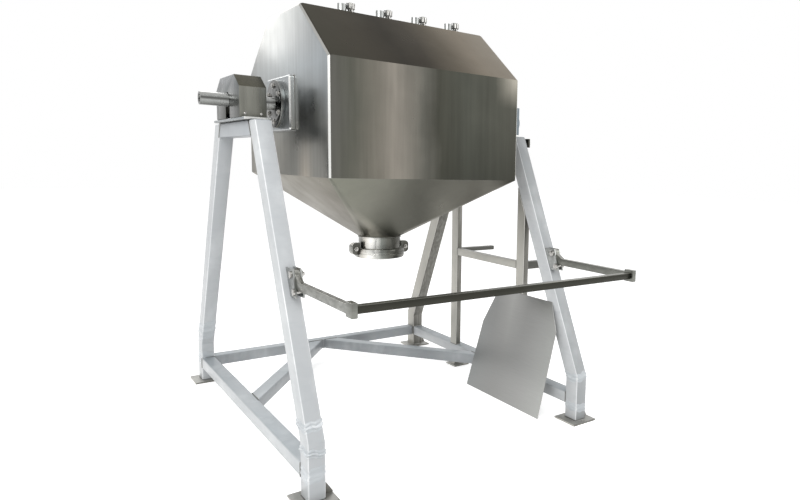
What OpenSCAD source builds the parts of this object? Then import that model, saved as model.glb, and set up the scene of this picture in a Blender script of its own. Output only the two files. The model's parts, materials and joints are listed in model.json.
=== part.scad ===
// Octagonal tumble blender: a chamfered stainless vessel with a square hopper, turned end over end
// on a horizontal shaft that two leaning end frames carry.
// X runs along the shaft to the drive end, Y to the rear, Z up. The origin is on the floor,
// straight under the middle of the vessel and in the middle of the floor anchors.

/* [End frames] */
// Height of the end frames, floor to the seats of the bearings
frame_top = 1700; // [1500:10:2000]
// Distance from a vessel end to the middle of its end frame
frame_gap = 222; // [205:1:300]
// Front to rear over the two feet of an end frame
foot_spread = 2090; // [1800:10:2400]
// Front to rear over the two leg tops of an end frame
head_spread = 772; // [700:2:900]
// Height at which a leg bends from its upright foot
bend_height = 280; // [240:5:400]
// Leg tube, along the shaft
leg_width = 80; // [60:5:100]
// Leg tube, across the shaft
leg_depth = 100; // [80:5:120]
// Wall of every frame tube
tube_wall = 4; // [2:0.5:6]
// Height of the base beams
beam_height = 70; // [50:5:80]
// Clear height under the base beams
beam_clearance = 95; // [70:5:120]
// Width of the rear beam and of the two base diagonals
brace_width = 80; // [60:5:90]
// Where a base diagonal meets its side beam, behind the shaft
brace_root = 15; // [0:5:120]
// Half the distance between the two diagonals' middles at the rear beam
brace_apex = 56; // [56:2:120]
// Height of the tube between two leg tops
head_tube_height = 80; // [60:5:100]
// Side of a square foot plate
foot_plate_side = 175; // [150:5:200]
// Thickness of a foot plate
foot_plate_thickness = 10; // [6:1:16]
// Radius of the anchor hole in a foot plate
anchor_radius = 7; // [5:0.5:8]
// Height of the stiffening gusset on a foot
gusset_height = 80; // [60:5:85]
// Thickness of a gusset
gusset_thickness = 8; // [4:1:10]

/* [Vessel] */
// Length of the vessel along the shaft
vessel_length = 1150; // [1000:10:1400]
// Front to rear over the upright faces
vessel_depth = 1300; // [1100:10:1300]
// Drop from the shaft to the lower edge of the upright faces
wall_drop = 385; // [300:5:420]
// Rise from the shaft to the upper edge of the upright faces
wall_rise = 200; // [150:5:250]
// Height of the sloping shoulders
shoulder_height = 305; // [250:5:340]
// Front to rear over the flat roof
roof_depth = 520; // [500:10:600]
// Height of the hopper under the upright faces
hopper_height = 370; // [320:5:400]
// Plate thickness of the vessel
shell_wall = 4; // [3:0.5:6]
// Radius of the folded edges round the vessel's ends
fold_radius = 24; // [10:1:30]

/* [Shaft and bearings] */
// Radius of the shaft
shaft_radius = 35; // [30:1:38]
// Shaft that stands out past the bearing cover on the free end
shaft_overhang = 134; // [80:2:160]
// Step in the shaft's radius on the part that stands out
shaft_step = 1; // [0.5:0.5:3]
// Radius of the shaft's end recess
shaft_recess_radius = 21; // [10:1:24]
// Depth of the shaft's end recess
shaft_recess_depth = 14; // [8:1:30]
// Radius of the shaft flange
flange_radius = 130; // [110:2:138]
// Thickness of the shaft flange
flange_thickness = 22; // [16:1:30]
// Bolts round a shaft flange
flange_bolts = 6; // [4:1:8]
// Height of the trunnion pad on a vessel end
pad_height = 290; // [285:5:320]
// Front to rear over the trunnion pad
pad_depth = 380; // [300:5:400]
// Thickness of the trunnion pad
pad_thickness = 30; // [20:1:35]
// Height of the shaft over the bearing plate
bearing_centre = 95; // [85:1:120]
// Thickness of the bearing plate
bearing_plate_thickness = 15; // [10:1:20]
// Front to rear over the bearing plate
bearing_plate_depth = 600; // [560:10:640]
// Length of the bearing cover along the shaft
cover_length = 132; // [120:2:150]
// Front to rear over the bearing cover
cover_depth = 450; // [420:5:480]
// Height of the bearing cover
cover_height = 217; // [200:1:230]
// Front to rear over the cover's flat roof
cover_roof = 270; // [220:5:300]
// Drop of the cover's sloping shoulders
cover_shoulder = 64; // [40:2:80]
// Sheet of the bearing cover
cover_wall = 3; // [2:0.5:5]

/* [Hatch] */
// Distance from a vessel end to the end of a middle-set hatch lid
lid_inset = 95; // [90:1:150]
// Front to rear over the hatch lid
lid_depth = 410; // [400:5:420]
// Thickness of the hatch lid
lid_thickness = 8; // [6:1:10]
// Distance of the hatch from the middle of the vessel, towards the drive
hatch_shift = 50; // [0:5:55]
// Distance of the clamp knobs' middle from the lid's middle
knob_shift = 30; // [0:5:40]
// Distance between neighbouring clamp knobs
knob_pitch = 226; // [160:2:240]
// Radius of a clamp knob
knob_radius = 25; // [18:1:26]
// Height of a clamp knob
knob_height = 52; // [40:2:60]
// Thickness of the seat that frames the hatch opening
seat_thickness = 15; // [12:1:20]

/* [Outlet] */
// Outer radius of the outlet neck
neck_radius = 127; // [110:1:140]
// Length of the outlet neck
neck_length = 100; // [90:2:120]
// Radius of the outlet's clamped rim
rim_radius = 138; // [134:1:150]
// Outer radius of the clamp ring
clamp_radius = 150; // [146:1:162]
// Height of the clamp ring
clamp_height = 60; // [44:1:70]
// Height of the clamp's two lugs
lug_height = 74; // [60:2:80]
// Rise of the lugs' middle over the clamp's middle
lug_rise = 26; // [10:1:26]
// Reach of the clamp's lugs from the outlet's middle
lug_reach = 190; // [186:1:200]

/* [Safety rail] */
// Height of the rail's pivots
rail_height = 988; // [900:2:1100]
// Distance from the rail's pivots to the front bar
rail_reach = 620; // [500:5:800]
// Distance of a rail arm from the middle of its leg, towards the vessel
rail_inset = 12; // [0:1:14]
// Width of a rail arm along the shaft
arm_width = 26; // [20:1:30]
// Height of a rail arm
arm_height = 40; // [30:1:50]
// Drop from a pivot to the middle of its arm
arm_drop = 46; // [42:1:60]
// Side of the square front bar
bar_side = 34; // [25:1:38]
// Radius of the pivot and stop pins
pin_radius = 9; // [6:0.5:11]
// Radius of the round heads of the pins
pin_head_radius = 17; // [13:1:20]

/* [Drive and shelf] */
// Length of the gearbox along the shaft
gearbox_length = 150; // [120:5:180]
// Height of the gearbox
gearbox_height = 300; // [260:5:320]
// Front to rear over the gearbox
gearbox_depth = 230; // [210:5:260]
// Radius of the motor
motor_radius = 80; // [70:1:88]
// Length of the motor
motor_length = 300; // [240:10:360]
// Width of the two shelf posts along the shaft
post_width = 40; // [30:2:60]
// Depth of the two shelf posts
post_depth = 80; // [60:5:90]
// Height of the shelf
shelf_height = 895; // [800:5:1000]
// Shelf that stands out past the end frame
shelf_reach = 268; // [200:2:300]

/* [Loose panel] */
// Front to rear over the panel's foot
panel_depth = 790; // [700:5:800]
// Height of the panel along its slope
panel_height = 705; // [600:5:720]
// Thickness of the panel
panel_thickness = 3; // [2:0.5:4]
// Distance of the panel's foot from the end frame
panel_step = 150; // [60:5:160]

/* [Hidden] */

// Overrun of every cut
over = 1;
// Radial clearance of a running fit
fit = 0.05;
// Gap between a resting piece and its seat
rest = 0.3;
// Facets of the round pieces
round_facets = 48;

steel_pale = [0.80, 0.82, 0.83];
steel_brushed = [0.62, 0.61, 0.58];
steel_dark = [0.40, 0.40, 0.38];
steel_bright = [0.85, 0.86, 0.87];
rubber_black = [0.08, 0.08, 0.08];
drive_grey = [0.45, 0.50, 0.54];

// End frame, worked out from the driving sizes
frame_x = vessel_length / 2 + frame_gap;
frame_inner = frame_x - leg_width / 2;
frame_outer = frame_x + leg_width / 2;
foot_y = foot_spread / 2;
head_y = head_spread / 2;
lean = atan((foot_y - head_y) / (frame_top - bend_height));
beam_top = beam_clearance + beam_height;
stub_y = foot_y - leg_depth / 2;
anchor_y = stub_y + (leg_depth + foot_plate_side) / 4;

// Shaft line
shaft_z = frame_top + bearing_plate_thickness + bearing_centre;
pad_face = vessel_length / 2 + pad_thickness;
cover_outer = frame_x + cover_length / 2;
shaft_tip = cover_outer + shaft_overhang;
flange_bolt_circle = (shaft_radius + flange_radius) / 2 + pad_thickness / 2;
flange_screw_radius = 8;
screw_head_radius = 13;
screw_head_height = 10;
shaft_step_gap = 3;

// Vessel
roof_z = shaft_z + wall_rise + shoulder_height;
shoulder_z = shaft_z + wall_rise;
wall_foot_z = shaft_z - wall_drop;
neck_top_z = wall_foot_z - hopper_height;
neck_foot_z = neck_top_z - neck_length;

// Hatch
lid_length = vessel_length - 2 * lid_inset;
gasket_thickness = 3;
seat_border = 60;
seat_margin = 25;
lid_foot_z = roof_z + gasket_thickness + rest;
lid_top_z = lid_foot_z + lid_thickness;
seat_depth = lid_depth + seat_margin;
seat_length = lid_length + seat_margin;
hatch_length = seat_length - 2 * seat_border;
hatch_depth = seat_depth - 2 * seat_border;
gasket_width = 12;
// Room round a clamp screw for the swing of the lid
swing_gap = 1.5;
knob_y = -lid_depth / 2 + knob_radius + rest;
clamp_thread_radius = 8;
knob_bevel = 2;
hinge_pin_radius = 6;
hinge_ear_width = 20;
hinge_spacing = 560;
hinge_z = lid_top_z + 2 * hinge_pin_radius;
hinge_y = lid_depth / 2 + hinge_pin_radius + rest;

// Rail
rail_x = frame_x - rail_inset;
leg_front_y = -foot_y + (rail_height - bend_height) * tan(lean);
pivot_reach = 60;
pivot_y = leg_front_y - pivot_reach;
bar_y = pivot_y - rail_reach;
arm_z = rail_height - arm_drop;
cheek_thickness = 8;
stop_reach = 38;
block_length = 60;
block_height = 62;

// Drive
gearbox_gap = 20;
gearbox_x = cover_outer + gearbox_gap;
sleeve_wall = 10;
worm_drop = 90;
torque_bolt_y = -175;
gearbox_offset = 40;
gearbox_boss_radius = 72;
gearbox_boss_height = 8;
torque_bolt_drop = 140;

module along_x(length) {
    rotate([90, 0, 90]) linear_extrude(length, center = true) children();
}

module disc_x(radius, length) {
    rotate([0, 90, 0]) cylinder(r = radius, h = length, $fn = round_facets);
}

module disc_y(radius, length) {
    rotate([90, 0, 0]) cylinder(r = radius, h = length, center = true, $fn = round_facets);
}

module mirrored(side) {
    mirror([side < 0 ? 1 : 0, 0, 0]) children();
}

module box_tube(size) {
    difference() {
        cube(size, center = true);
        cube([for (length = size) length - 2 * tube_wall], center = true);
    }
}

// One side of a leg, a distance in from its outer face
function leg_side(inset, low, high) = [
    [-foot_y + inset, low],
    [-foot_y + inset, bend_height - inset * tan(lean / 2)],
    [-foot_y + inset / cos(lean) + (high - bend_height) * tan(lean), high]];

function flipped(points) = [for (i = [len(points) - 1:-1:0]) points[i]];

function leg_outline(wall) = let (low = foot_plate_thickness + wall, high = frame_top - wall)
    concat(leg_side(wall, low, high), flipped(leg_side(leg_depth - wall, low, high)));

// Height of a leg's inner face over a place between the legs
function leg_inner_z(y) = bend_height + (foot_y - leg_depth / cos(lean) - abs(y)) / tan(lean);

module leg(side, rear) {
    color(steel_pale) translate([side * frame_x, 0, 0]) mirror([0, rear ? 1 : 0, 0])
        difference() {
            along_x(leg_width) polygon(leg_outline(0));
            along_x(leg_width - 2 * tube_wall) polygon(leg_outline(tube_wall));
        }
}

module head_tube(side) {
    gap = 2 * (head_y - leg_depth / cos(lean));
    low_gap = gap + 2 * head_tube_height * tan(lean);
    color(steel_pale) translate([side * frame_x, 0, 0]) difference() {
        along_x(leg_width) polygon([[-gap / 2, frame_top], [gap / 2, frame_top],
            [low_gap / 2, frame_top - head_tube_height], [-low_gap / 2, frame_top - head_tube_height]]);
        translate([0, 0, frame_top - head_tube_height / 2])
            cube([leg_width - 2 * tube_wall, gap - 2 * tube_wall, head_tube_height - 2 * tube_wall],
                center = true);
    }
}

module side_beam(side) {
    color(steel_pale) translate([side * frame_x, 0, beam_top - beam_height / 2])
        box_tube([leg_width, foot_spread - 2 * leg_depth, beam_height]);
}

module rear_beam() {
    color(steel_pale) translate([0, stub_y, beam_top - beam_height / 2])
        box_tube([2 * frame_inner, brace_width, beam_height]);
}

// Plan of a base diagonal, drawn in by the tube's wall for its hollow
function diagonal_plan(wall) = let (
    back = stub_y - brace_width / 2,
    turn = atan((back - brace_root) / (frame_inner - brace_apex)),
    half = brace_width / 2 - wall,
    slope = tan(turn),
    x_out = frame_inner - wall,
    y_out = back - wall,
    root = brace_root + wall * slope,
    apex = brace_apex + wall / slope)
    [[x_out, root - half / cos(turn)], [x_out, root + half / cos(turn)],
     [apex + half / sin(turn), y_out], [apex - half / sin(turn), y_out]];

module diagonal(side) {
    color(steel_pale) mirrored(side) translate([0, 0, beam_clearance]) difference() {
        linear_extrude(beam_height) polygon(diagonal_plan(0));
        translate([0, 0, tube_wall]) linear_extrude(beam_height - 2 * tube_wall)
            polygon(diagonal_plan(tube_wall));
    }
}

module foot_plates() {
    color(steel_brushed) for (side = [-1, 1], end = [-1, 1]) difference() {
        translate([side * frame_x, end * stub_y, foot_plate_thickness / 2])
            cube([foot_plate_side, foot_plate_side, foot_plate_thickness], center = true);
        translate([side * frame_x, end * anchor_y, -over])
            cylinder(r = anchor_radius, h = foot_plate_thickness + 2 * over, $fn = round_facets);
    }
}

// Small triangular ribs between the drive side of a foot and its plate
module foot_gussets() {
    reach = (foot_plate_side - leg_width) / 2;
    color(steel_pale) for (side = [-1, 1], end = [-1, 1])
        translate([side * frame_x + leg_width / 2, end * stub_y, foot_plate_thickness])
            rotate([90, 0, 0]) linear_extrude(gusset_thickness, center = true)
                polygon([[0, 0], [reach, 0], [reach, gusset_thickness], [0, gusset_height]]);
}

front_post_y = -head_y - leg_depth + post_depth / 4;
rear_post_y = head_y - leg_depth + post_depth / 2;

// A post between a side beam and the slope of the leg above it
module shelf_post(y) {
    color(steel_pale) translate([frame_inner + post_width / 2, 0, 0]) difference() {
        along_x(post_width) polygon([[y - post_depth / 2, beam_top], [y + post_depth / 2, beam_top],
            [y + post_depth / 2, leg_inner_z(y + post_depth / 2)],
            [y - post_depth / 2, leg_inner_z(y - post_depth / 2)]]);
        translate([0, y, (beam_top + leg_inner_z(abs(y) + post_depth / 2)) / 2])
            cube([post_width - 2 * tube_wall, post_depth - 2 * tube_wall,
                leg_inner_z(abs(y) + post_depth / 2) - beam_top - 2 * tube_wall], center = true);
        translate([-leg_width, -foot_y, frame_top - head_tube_height])
            cube([2 * leg_width, foot_spread, head_tube_height]);
    }
}

tie_height = 50;
shelf_bar_depth = 40;
rear_bar_height = 30;

module shelf_tie() {
    low = front_post_y + post_depth / 2;
    high = rear_post_y - post_depth / 2;
    color(steel_pale)
        translate([frame_inner + post_width / 2, (low + high) / 2, shelf_height - tie_height / 2])
            box_tube([post_width, high - low, tie_height]);
}

module shelf_bar(y, height) {
    length = frame_outer + shelf_reach - frame_inner - post_width;
    color(steel_dark)
        translate([frame_inner + post_width + length / 2, y, shelf_height - height / 2])
            box_tube([length, shelf_bar_depth, height]);
}

module post_foot() {
    color(steel_pale) translate([frame_x, rear_post_y, 0]) {
        linear_extrude(foot_plate_thickness)
            square((foot_plate_side + leg_width) / 2, center = true);
        linear_extrude(beam_clearance) square([post_depth, post_width], center = true);
    }
}

module bearing_plate(side) {
    color(steel_brushed) translate([side * frame_x, 0, frame_top + bearing_plate_thickness / 2])
        cube([cover_length, bearing_plate_depth, bearing_plate_thickness], center = true);
}

block_foot_depth = 300;
block_foot_height = 26;
block_length_x = 64;
block_dome_radius = 64;
block_slot_y = 118;
bearing_bolt_radius = 9;

// Cast pillow block with its round bearing seat and two feet
module pillow_block(side) {
    color(drive_grey) translate([side * frame_x, 0, frame_top + bearing_plate_thickness])
        difference() {
            union() {
                translate([0, 0, block_foot_height / 2])
                    cube([block_length_x, block_foot_depth, block_foot_height], center = true);
                translate([0, 0, bearing_centre / 2])
                    cube([block_length_x, 2 * block_dome_radius, bearing_centre], center = true);
                translate([-block_length_x / 2, 0, bearing_centre])
                    disc_x(block_dome_radius, block_length_x);
            }
            translate([-block_length_x / 2 - over, 0, bearing_centre])
                disc_x(shaft_radius + fit, block_length_x + 2 * over);
            for (end = [-1, 1]) translate([0, end * block_slot_y, -over])
                cylinder(r = bearing_bolt_radius + fit, h = block_foot_height + 2 * over,
                    $fn = round_facets);
        }
}

bolt_head_radius = 15;
bolt_head_height = 12;

module hex_screw(shank_radius, shank_length, head_radius, head_height) {
    translate([0, 0, -shank_length]) cylinder(r = shank_radius, h = shank_length, $fn = round_facets);
    cylinder(r = head_radius, h = head_height, $fn = 6);
}

module bearing_bolts() {
    color(steel_bright) for (side = [-1, 1], end = [-1, 1])
        translate([side * frame_x, end * block_slot_y,
            frame_top + bearing_plate_thickness + block_foot_height])
            hex_screw(bearing_bolt_radius, block_foot_height, bolt_head_radius, bolt_head_height);
}

function cover_outline(wall) = let (half = cover_depth / 2 - wall, roof = cover_roof / 2 - wall / 2,
    top = cover_height - wall)
    [[-half, 0], [half, 0], [half, top - cover_shoulder], [roof, top], [-roof, top],
     [-half, top - cover_shoulder]];

// Folded sheet box over a bearing, open below, with a slot for the shaft in each end
module bearing_cover(side) {
    slot = shaft_radius + 2 * cover_wall;
    color(steel_brushed) translate([side * frame_x, 0, frame_top + bearing_plate_thickness])
        difference() {
            along_x(cover_length) polygon(cover_outline(0));
            translate([0, 0, -over]) along_x(cover_length - 2 * cover_wall)
                polygon([for (p = cover_outline(cover_wall)) [p[0], p[1] + (p[1] > 0 ? over : 0)]]);
            translate([-cover_length / 2 - over, 0, bearing_centre])
                disc_x(slot, cover_length + 2 * over);
            translate([-cover_length / 2 - over, -slot, -over])
                cube([cover_length + 2 * over, 2 * slot, bearing_centre + over]);
        }
}

// Section of the vessel across the shaft, drawn in by a wall, with its foot at a height
function vessel_section(inset, low) = let (
    half = vessel_depth / 2 - inset,
    slope = atan(shoulder_height / (vessel_depth / 2 - roof_depth / 2)),
    roof = roof_depth / 2 - inset * tan(slope / 2),
    top = roof_z - inset)
    [[-half, low], [half, low], [half, shoulder_z - inset / 2], [roof, top],
     [-roof, top], [-half, shoulder_z - inset / 2]];

fold_steps = [0, 30, 60, 90];

// The vessel's body with rounded ends, drawn in by a wall
module vessel_prism(wall, low) {
    fold = fold_radius - wall;
    hull() for (turn = fold_steps)
        along_x(vessel_length - 2 * wall - 2 * fold * (1 - cos(turn)))
            polygon(vessel_section(wall + fold * (1 - sin(turn)), low));
}

// The hopper from the body's rounded oblong down to the round neck
module hopper(wall, low, high) {
    corner = fold_radius - wall;
    hull() {
        for (x = [-1, 1], y = [-1, 1])
            translate([x * (vessel_length / 2 - fold_radius), y * (vessel_depth / 2 - fold_radius),
                wall_foot_z - over]) cylinder(r = corner, h = high - wall_foot_z + over, $fn = 12);
        translate([0, 0, low]) cylinder(r = neck_radius - wall, h = over, $fn = round_facets);
    }
}

module vessel_body() {
    color(steel_brushed) difference() {
        vessel_prism(0, wall_foot_z);
        vessel_prism(shell_wall, wall_foot_z - over);
        translate([hatch_shift, 0, roof_z])
            cube([seat_length, seat_depth, 4 * seat_thickness], center = true);
    }
}

module vessel_hopper() {
    color(steel_brushed) difference() {
        hopper(0, neck_top_z, wall_foot_z);
        hopper(shell_wall, neck_top_z - over, wall_foot_z + over);
    }
}

module trunnion_pad(side) {
    corner = pad_thickness / 2;
    color(steel_brushed) mirrored(side) difference() {
        hull() for (y = [-1, 1], z = [-1, 1])
            translate([vessel_length / 2, y * (pad_depth / 2 - corner),
                shaft_z + z * (pad_height / 2 - corner)]) rotate([0, 90, 0]) {
                    cylinder(r = corner, h = pad_thickness - corner / 2, $fn = 24);
                    cylinder(r = corner / 2, h = pad_thickness, $fn = 24);
                }
        flange_pattern() translate([0, 0, -pad_thickness])
            cylinder(r = flange_screw_radius + fit, h = 2 * pad_thickness, $fn = round_facets);
    }
}

// Places of the flange screws, each with its own Z along the shaft
module flange_pattern() {
    for (i = [0:flange_bolts - 1])
        translate([pad_face, 0, shaft_z]) rotate([(i + 1 / 2) * 360 / flange_bolts, 0, 0])
            translate([0, flange_bolt_circle, 0]) rotate([0, 90, 0]) children();
}

module shaft(side, tip, recess) {
    color(steel_bright) mirrored(side) difference() {
        translate([0, 0, shaft_z]) union() {
            translate([pad_face, 0, 0]) disc_x(flange_radius, flange_thickness);
            translate([pad_face, 0, 0])
                disc_x(shaft_radius, (recess ? cover_outer + shaft_step_gap : tip) - pad_face);
            if (recess) translate([pad_face, 0, 0]) disc_x(shaft_radius - shaft_step, tip - pad_face);
        }
        flange_pattern()
            cylinder(r = flange_screw_radius + fit, h = flange_thickness + over, $fn = round_facets);
        if (recess) translate([tip - shaft_recess_depth, 0, shaft_z])
            disc_x(shaft_recess_radius, shaft_recess_depth + over);
    }
}

module flange_screws() {
    color(steel_bright) for (side = [-1, 1]) mirrored(side) flange_pattern()
        translate([0, 0, flange_thickness])
            hex_screw(flange_screw_radius, flange_thickness + pad_thickness / 2,
                screw_head_radius, screw_head_height);
}

knob_x = [for (i = [0:3]) hatch_shift + knob_shift + (i - 3 / 2) * knob_pitch];

module hatch_seat() {
    color(steel_brushed) difference() {
        translate([hatch_shift, 0, roof_z - seat_thickness / 2])
            cube([seat_length, seat_depth, seat_thickness], center = true);
        translate([hatch_shift, 0, roof_z])
            cube([hatch_length, hatch_depth, 4 * seat_thickness], center = true);
        for (x = knob_x) translate([x, knob_y, roof_z - seat_thickness - over])
            cylinder(r = clamp_thread_radius + swing_gap, h = seat_thickness + 2 * over, $fn = round_facets);
    }
}

module hatch_gasket() {
    color(rubber_black) translate([hatch_shift, 0, roof_z]) linear_extrude(gasket_thickness) difference() {
        square([hatch_length + 2 * gasket_width, hatch_depth + 2 * gasket_width], center = true);
        square([hatch_length, hatch_depth], center = true);
    }
}

module hatch_lid() {
    color(steel_brushed) difference() {
        union() {
            translate([hatch_shift, 0, lid_foot_z + lid_thickness / 2])
                cube([lid_length, lid_depth, lid_thickness], center = true);
            for (x = [-1, 1]) translate([hatch_shift + x * hinge_spacing / 2, 0, 0])
                lid_knuckle();
            for (x = knob_x) translate([x - 2 * knob_radius - swing_gap, knob_y, lid_top_z])
                cylinder(r = knob_radius, h = knob_height * 3 / 4, $fn = round_facets);
        }
        for (x = knob_x) translate([x, knob_y, lid_foot_z - over])
            cylinder(r = clamp_thread_radius + fit, h = lid_thickness + 2 * over, $fn = round_facets);
    }
}

// Ear of the lid that turns on a hinge pin
module lid_knuckle() {
    difference() {
        union() {
            translate([-hinge_ear_width / 2, hinge_y, hinge_z]) disc_x(2 * hinge_pin_radius, hinge_ear_width);
            translate([-hinge_ear_width / 2, lid_depth / 2 - 4 * hinge_pin_radius, lid_top_z])
                cube([hinge_ear_width, hinge_y - lid_depth / 2 + 4 * hinge_pin_radius, 4 * hinge_pin_radius]);
        }
        translate([-hinge_ear_width, hinge_y, hinge_z]) disc_x(hinge_pin_radius + fit, 2 * hinge_ear_width);
    }
}

module hatch_hinge_ears() {
    color(steel_brushed) for (x = [-1, 1], end = [-1, 1])
        translate([hatch_shift + x * hinge_spacing / 2 + end * (hinge_ear_width + rest), 0, 0])
            difference() {
                union() {
                    translate([-hinge_ear_width / 2, hinge_y, hinge_z])
                        disc_x(2 * hinge_pin_radius, hinge_ear_width);
                    translate([-hinge_ear_width / 2, hinge_y - 2 * hinge_pin_radius, roof_z])
                        cube([hinge_ear_width, 4 * hinge_pin_radius, hinge_z - roof_z]);
                }
                translate([-hinge_ear_width, hinge_y, hinge_z])
                    disc_x(hinge_pin_radius + fit, 2 * hinge_ear_width);
                translate([-hinge_ear_width, 0, roof_z - over])
                    cube([2 * hinge_ear_width, lid_depth / 2 + rest, hinge_z]);
            }
}

module hatch_hinge_pins() {
    length = 3 * hinge_ear_width + 2 * rest;
    color(steel_bright) for (x = [-1, 1])
        translate([hatch_shift + x * hinge_spacing / 2 - length / 2, hinge_y, hinge_z])
            disc_x(hinge_pin_radius, length);
}

// Round hand knob on its captive clamp screw
module clamp_knob(number) {
    color(steel_bright) translate([knob_x[number - 1], knob_y, 0]) {
        translate([0, 0, roof_z - seat_thickness / 2])
            cylinder(r = clamp_thread_radius, h = lid_top_z + rest - roof_z + seat_thickness / 2,
                $fn = round_facets);
        translate([0, 0, lid_top_z + rest]) rotate_extrude($fn = round_facets)
            polygon([[0, 0], [knob_radius, 0], [knob_radius, knob_height - knob_bevel],
                [knob_radius - knob_bevel, knob_height], [0, knob_height]]);
    }
}

rim_thickness = 8;
seal_thickness = 2;
cap_wall = 6;
cap_dome = 39;

module outlet_neck() {
    color(steel_brushed) difference() {
        union() {
            translate([0, 0, neck_foot_z]) cylinder(r = neck_radius, h = neck_length, $fn = round_facets);
            translate([0, 0, neck_foot_z]) cylinder(r = rim_radius, h = rim_thickness, $fn = round_facets);
            translate([0, 0, neck_top_z - rim_thickness])
                cylinder(r = neck_radius + shell_wall, h = rim_thickness, $fn = round_facets);
        }
        translate([0, 0, neck_foot_z - over])
            cylinder(r = neck_radius - shell_wall, h = neck_length + 2 * over, $fn = round_facets);
    }
}

module outlet_gasket() {
    color(rubber_black) translate([0, 0, neck_foot_z - seal_thickness]) difference() {
        cylinder(r = neck_radius, h = seal_thickness, $fn = round_facets);
        translate([0, 0, -over])
            cylinder(r = neck_radius - shell_wall, h = seal_thickness + 2 * over, $fn = round_facets);
    }
}

cap_top_z = neck_foot_z - seal_thickness;

// Blind cap with a shallow pressed dome that hangs below the clamp
module outlet_cap() {
    drop = clamp_height - rim_thickness + rest;
    color(steel_brushed) translate([0, 0, cap_top_z]) rotate_extrude($fn = round_facets)
        polygon([[0, -cap_dome - cap_wall], [neck_radius / 2, -cap_dome - cap_wall],
            [neck_radius - shell_wall, -drop / 2 - cap_wall], [neck_radius - shell_wall, -rim_thickness],
            [rim_radius, -rim_thickness], [rim_radius, 0], [neck_radius - shell_wall - cap_wall, 0],
            [neck_radius - shell_wall - cap_wall, -drop / 2 + cap_wall],
            [neck_radius / 2 - cap_wall, -cap_dome], [0, -cap_dome]]);
}

clamp_mid_z = neck_foot_z - seal_thickness / 2;
lug_mid_z = clamp_mid_z + lug_rise;
lug_x = (rim_radius + lug_reach) / 2;
clamp_bolt_radius = 7;
clamp_bolt_gap = 1;
clamp_bolt_x = clamp_radius + 2 * clamp_bolt_radius + clamp_bolt_gap;
clamp_split = 1;
lug_depth = 22;
clamp_nut_height = 11;
rim_stack = 2 * rim_thickness + seal_thickness;

// Half of the heavy clamp ring, front for -1 and rear for 1
module clamp_half(end) {
    color(steel_dark) difference() {
        union() {
            translate([0, 0, clamp_mid_z - clamp_height / 2])
                cylinder(r = clamp_radius, h = clamp_height, $fn = round_facets);
            for (x = [-1, 1]) translate([x * lug_x, 0, lug_mid_z])
                cube([lug_reach - rim_radius, 2 * lug_depth, lug_height], center = true);
        }
        translate([0, 0, clamp_mid_z - clamp_height])
            cylinder(r = neck_radius + 2 * rest, h = 2 * clamp_height, $fn = round_facets);
        translate([0, 0, clamp_mid_z - rim_stack / 2 - rest])
            cylinder(r = rim_radius + rest, h = rim_stack + 2 * rest, $fn = round_facets);
        for (x = [-1, 1]) translate([x * clamp_bolt_x, 0, lug_mid_z])
            disc_y(clamp_bolt_radius + clamp_bolt_gap, 4 * lug_depth);
        translate([-lug_reach - over, end < 0 ? -clamp_split / 2 : clamp_split / 2 - lug_reach,
            neck_foot_z - lug_reach]) cube([2 * lug_reach + 2 * over, lug_reach, 2 * lug_reach]);
    }
}

// Bolts through both lugs, with their heads behind the rear half
module clamp_bolts() {
    color(steel_bright) for (x = [-1, 1]) translate([x * clamp_bolt_x, lug_depth, lug_mid_z])
        rotate([-90, 0, 0])
        hex_screw(clamp_bolt_radius, 2 * lug_depth + 2 * clamp_nut_height,
            2 * clamp_bolt_radius, clamp_nut_height);
}

module clamp_nuts() {
    color(steel_bright) for (x = [-1, 1]) translate([x * clamp_bolt_x, -lug_depth, lug_mid_z])
        rotate([90, 0, 0])
        difference() {
            cylinder(r = 2 * clamp_bolt_radius, h = clamp_nut_height, $fn = 6);
            translate([0, 0, -over])
                cylinder(r = clamp_bolt_radius + fit, h = clamp_nut_height + 2 * over, $fn = round_facets);
        }
}

function bracket_outline() = let (
    low = arm_z - arm_height / 2 - 4 * pin_radius,
    high = rail_height + 3 * pin_radius)
    [[-foot_y + (low - bend_height) * tan(lean), low], [-foot_y + (high - bend_height) * tan(lean), high],
     [pivot_y - 2 * pin_radius, high], [pivot_y - stop_reach - 2 * pin_radius, low + pin_radius],
     [pivot_y - stop_reach - 2 * pin_radius, low]];

stop_z = arm_z - arm_height / 2 - rest - pin_radius;
cheek_gap = arm_width + 2 * rest;

module rail_brackets() {
    color(steel_brushed) for (side = [-1, 1]) mirrored(side) difference() {
        for (cheek = [-1, 1]) translate([rail_x + cheek * (cheek_gap + cheek_thickness) / 2, 0, 0])
            along_x(cheek_thickness) polygon(bracket_outline());
        translate([rail_x - leg_width, pivot_y, rail_height]) disc_x(pin_radius + fit, 2 * leg_width);
        translate([rail_x - leg_width, pivot_y - stop_reach, stop_z])
            disc_x(pin_radius + fit, 2 * leg_width);
    }
}

// Headed pin through both cheeks of a bracket, with its nut
module headed_pin(side) {
    length = cheek_gap + 2 * cheek_thickness;
    start = side * rail_x - length / 2;
    translate([start - pin_radius, 0, 0]) disc_x(pin_head_radius, pin_radius);
    translate([start, 0, 0]) disc_x(pin_radius, length + 2 * pin_radius);
    translate([start + length, 0, 0]) difference() {
        rotate([0, 90, 0]) cylinder(r = 2 * pin_radius, h = pin_radius, $fn = 6);
        translate([-over, 0, 0]) disc_x(pin_radius + fit, pin_radius + 2 * over);
    }
}

module rail_pins() {
    color(steel_bright) for (side = [-1, 1]) {
        translate([0, pivot_y, rail_height]) headed_pin(side);
        translate([0, pivot_y - stop_reach, stop_z]) headed_pin(side);
    }
}

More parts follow.
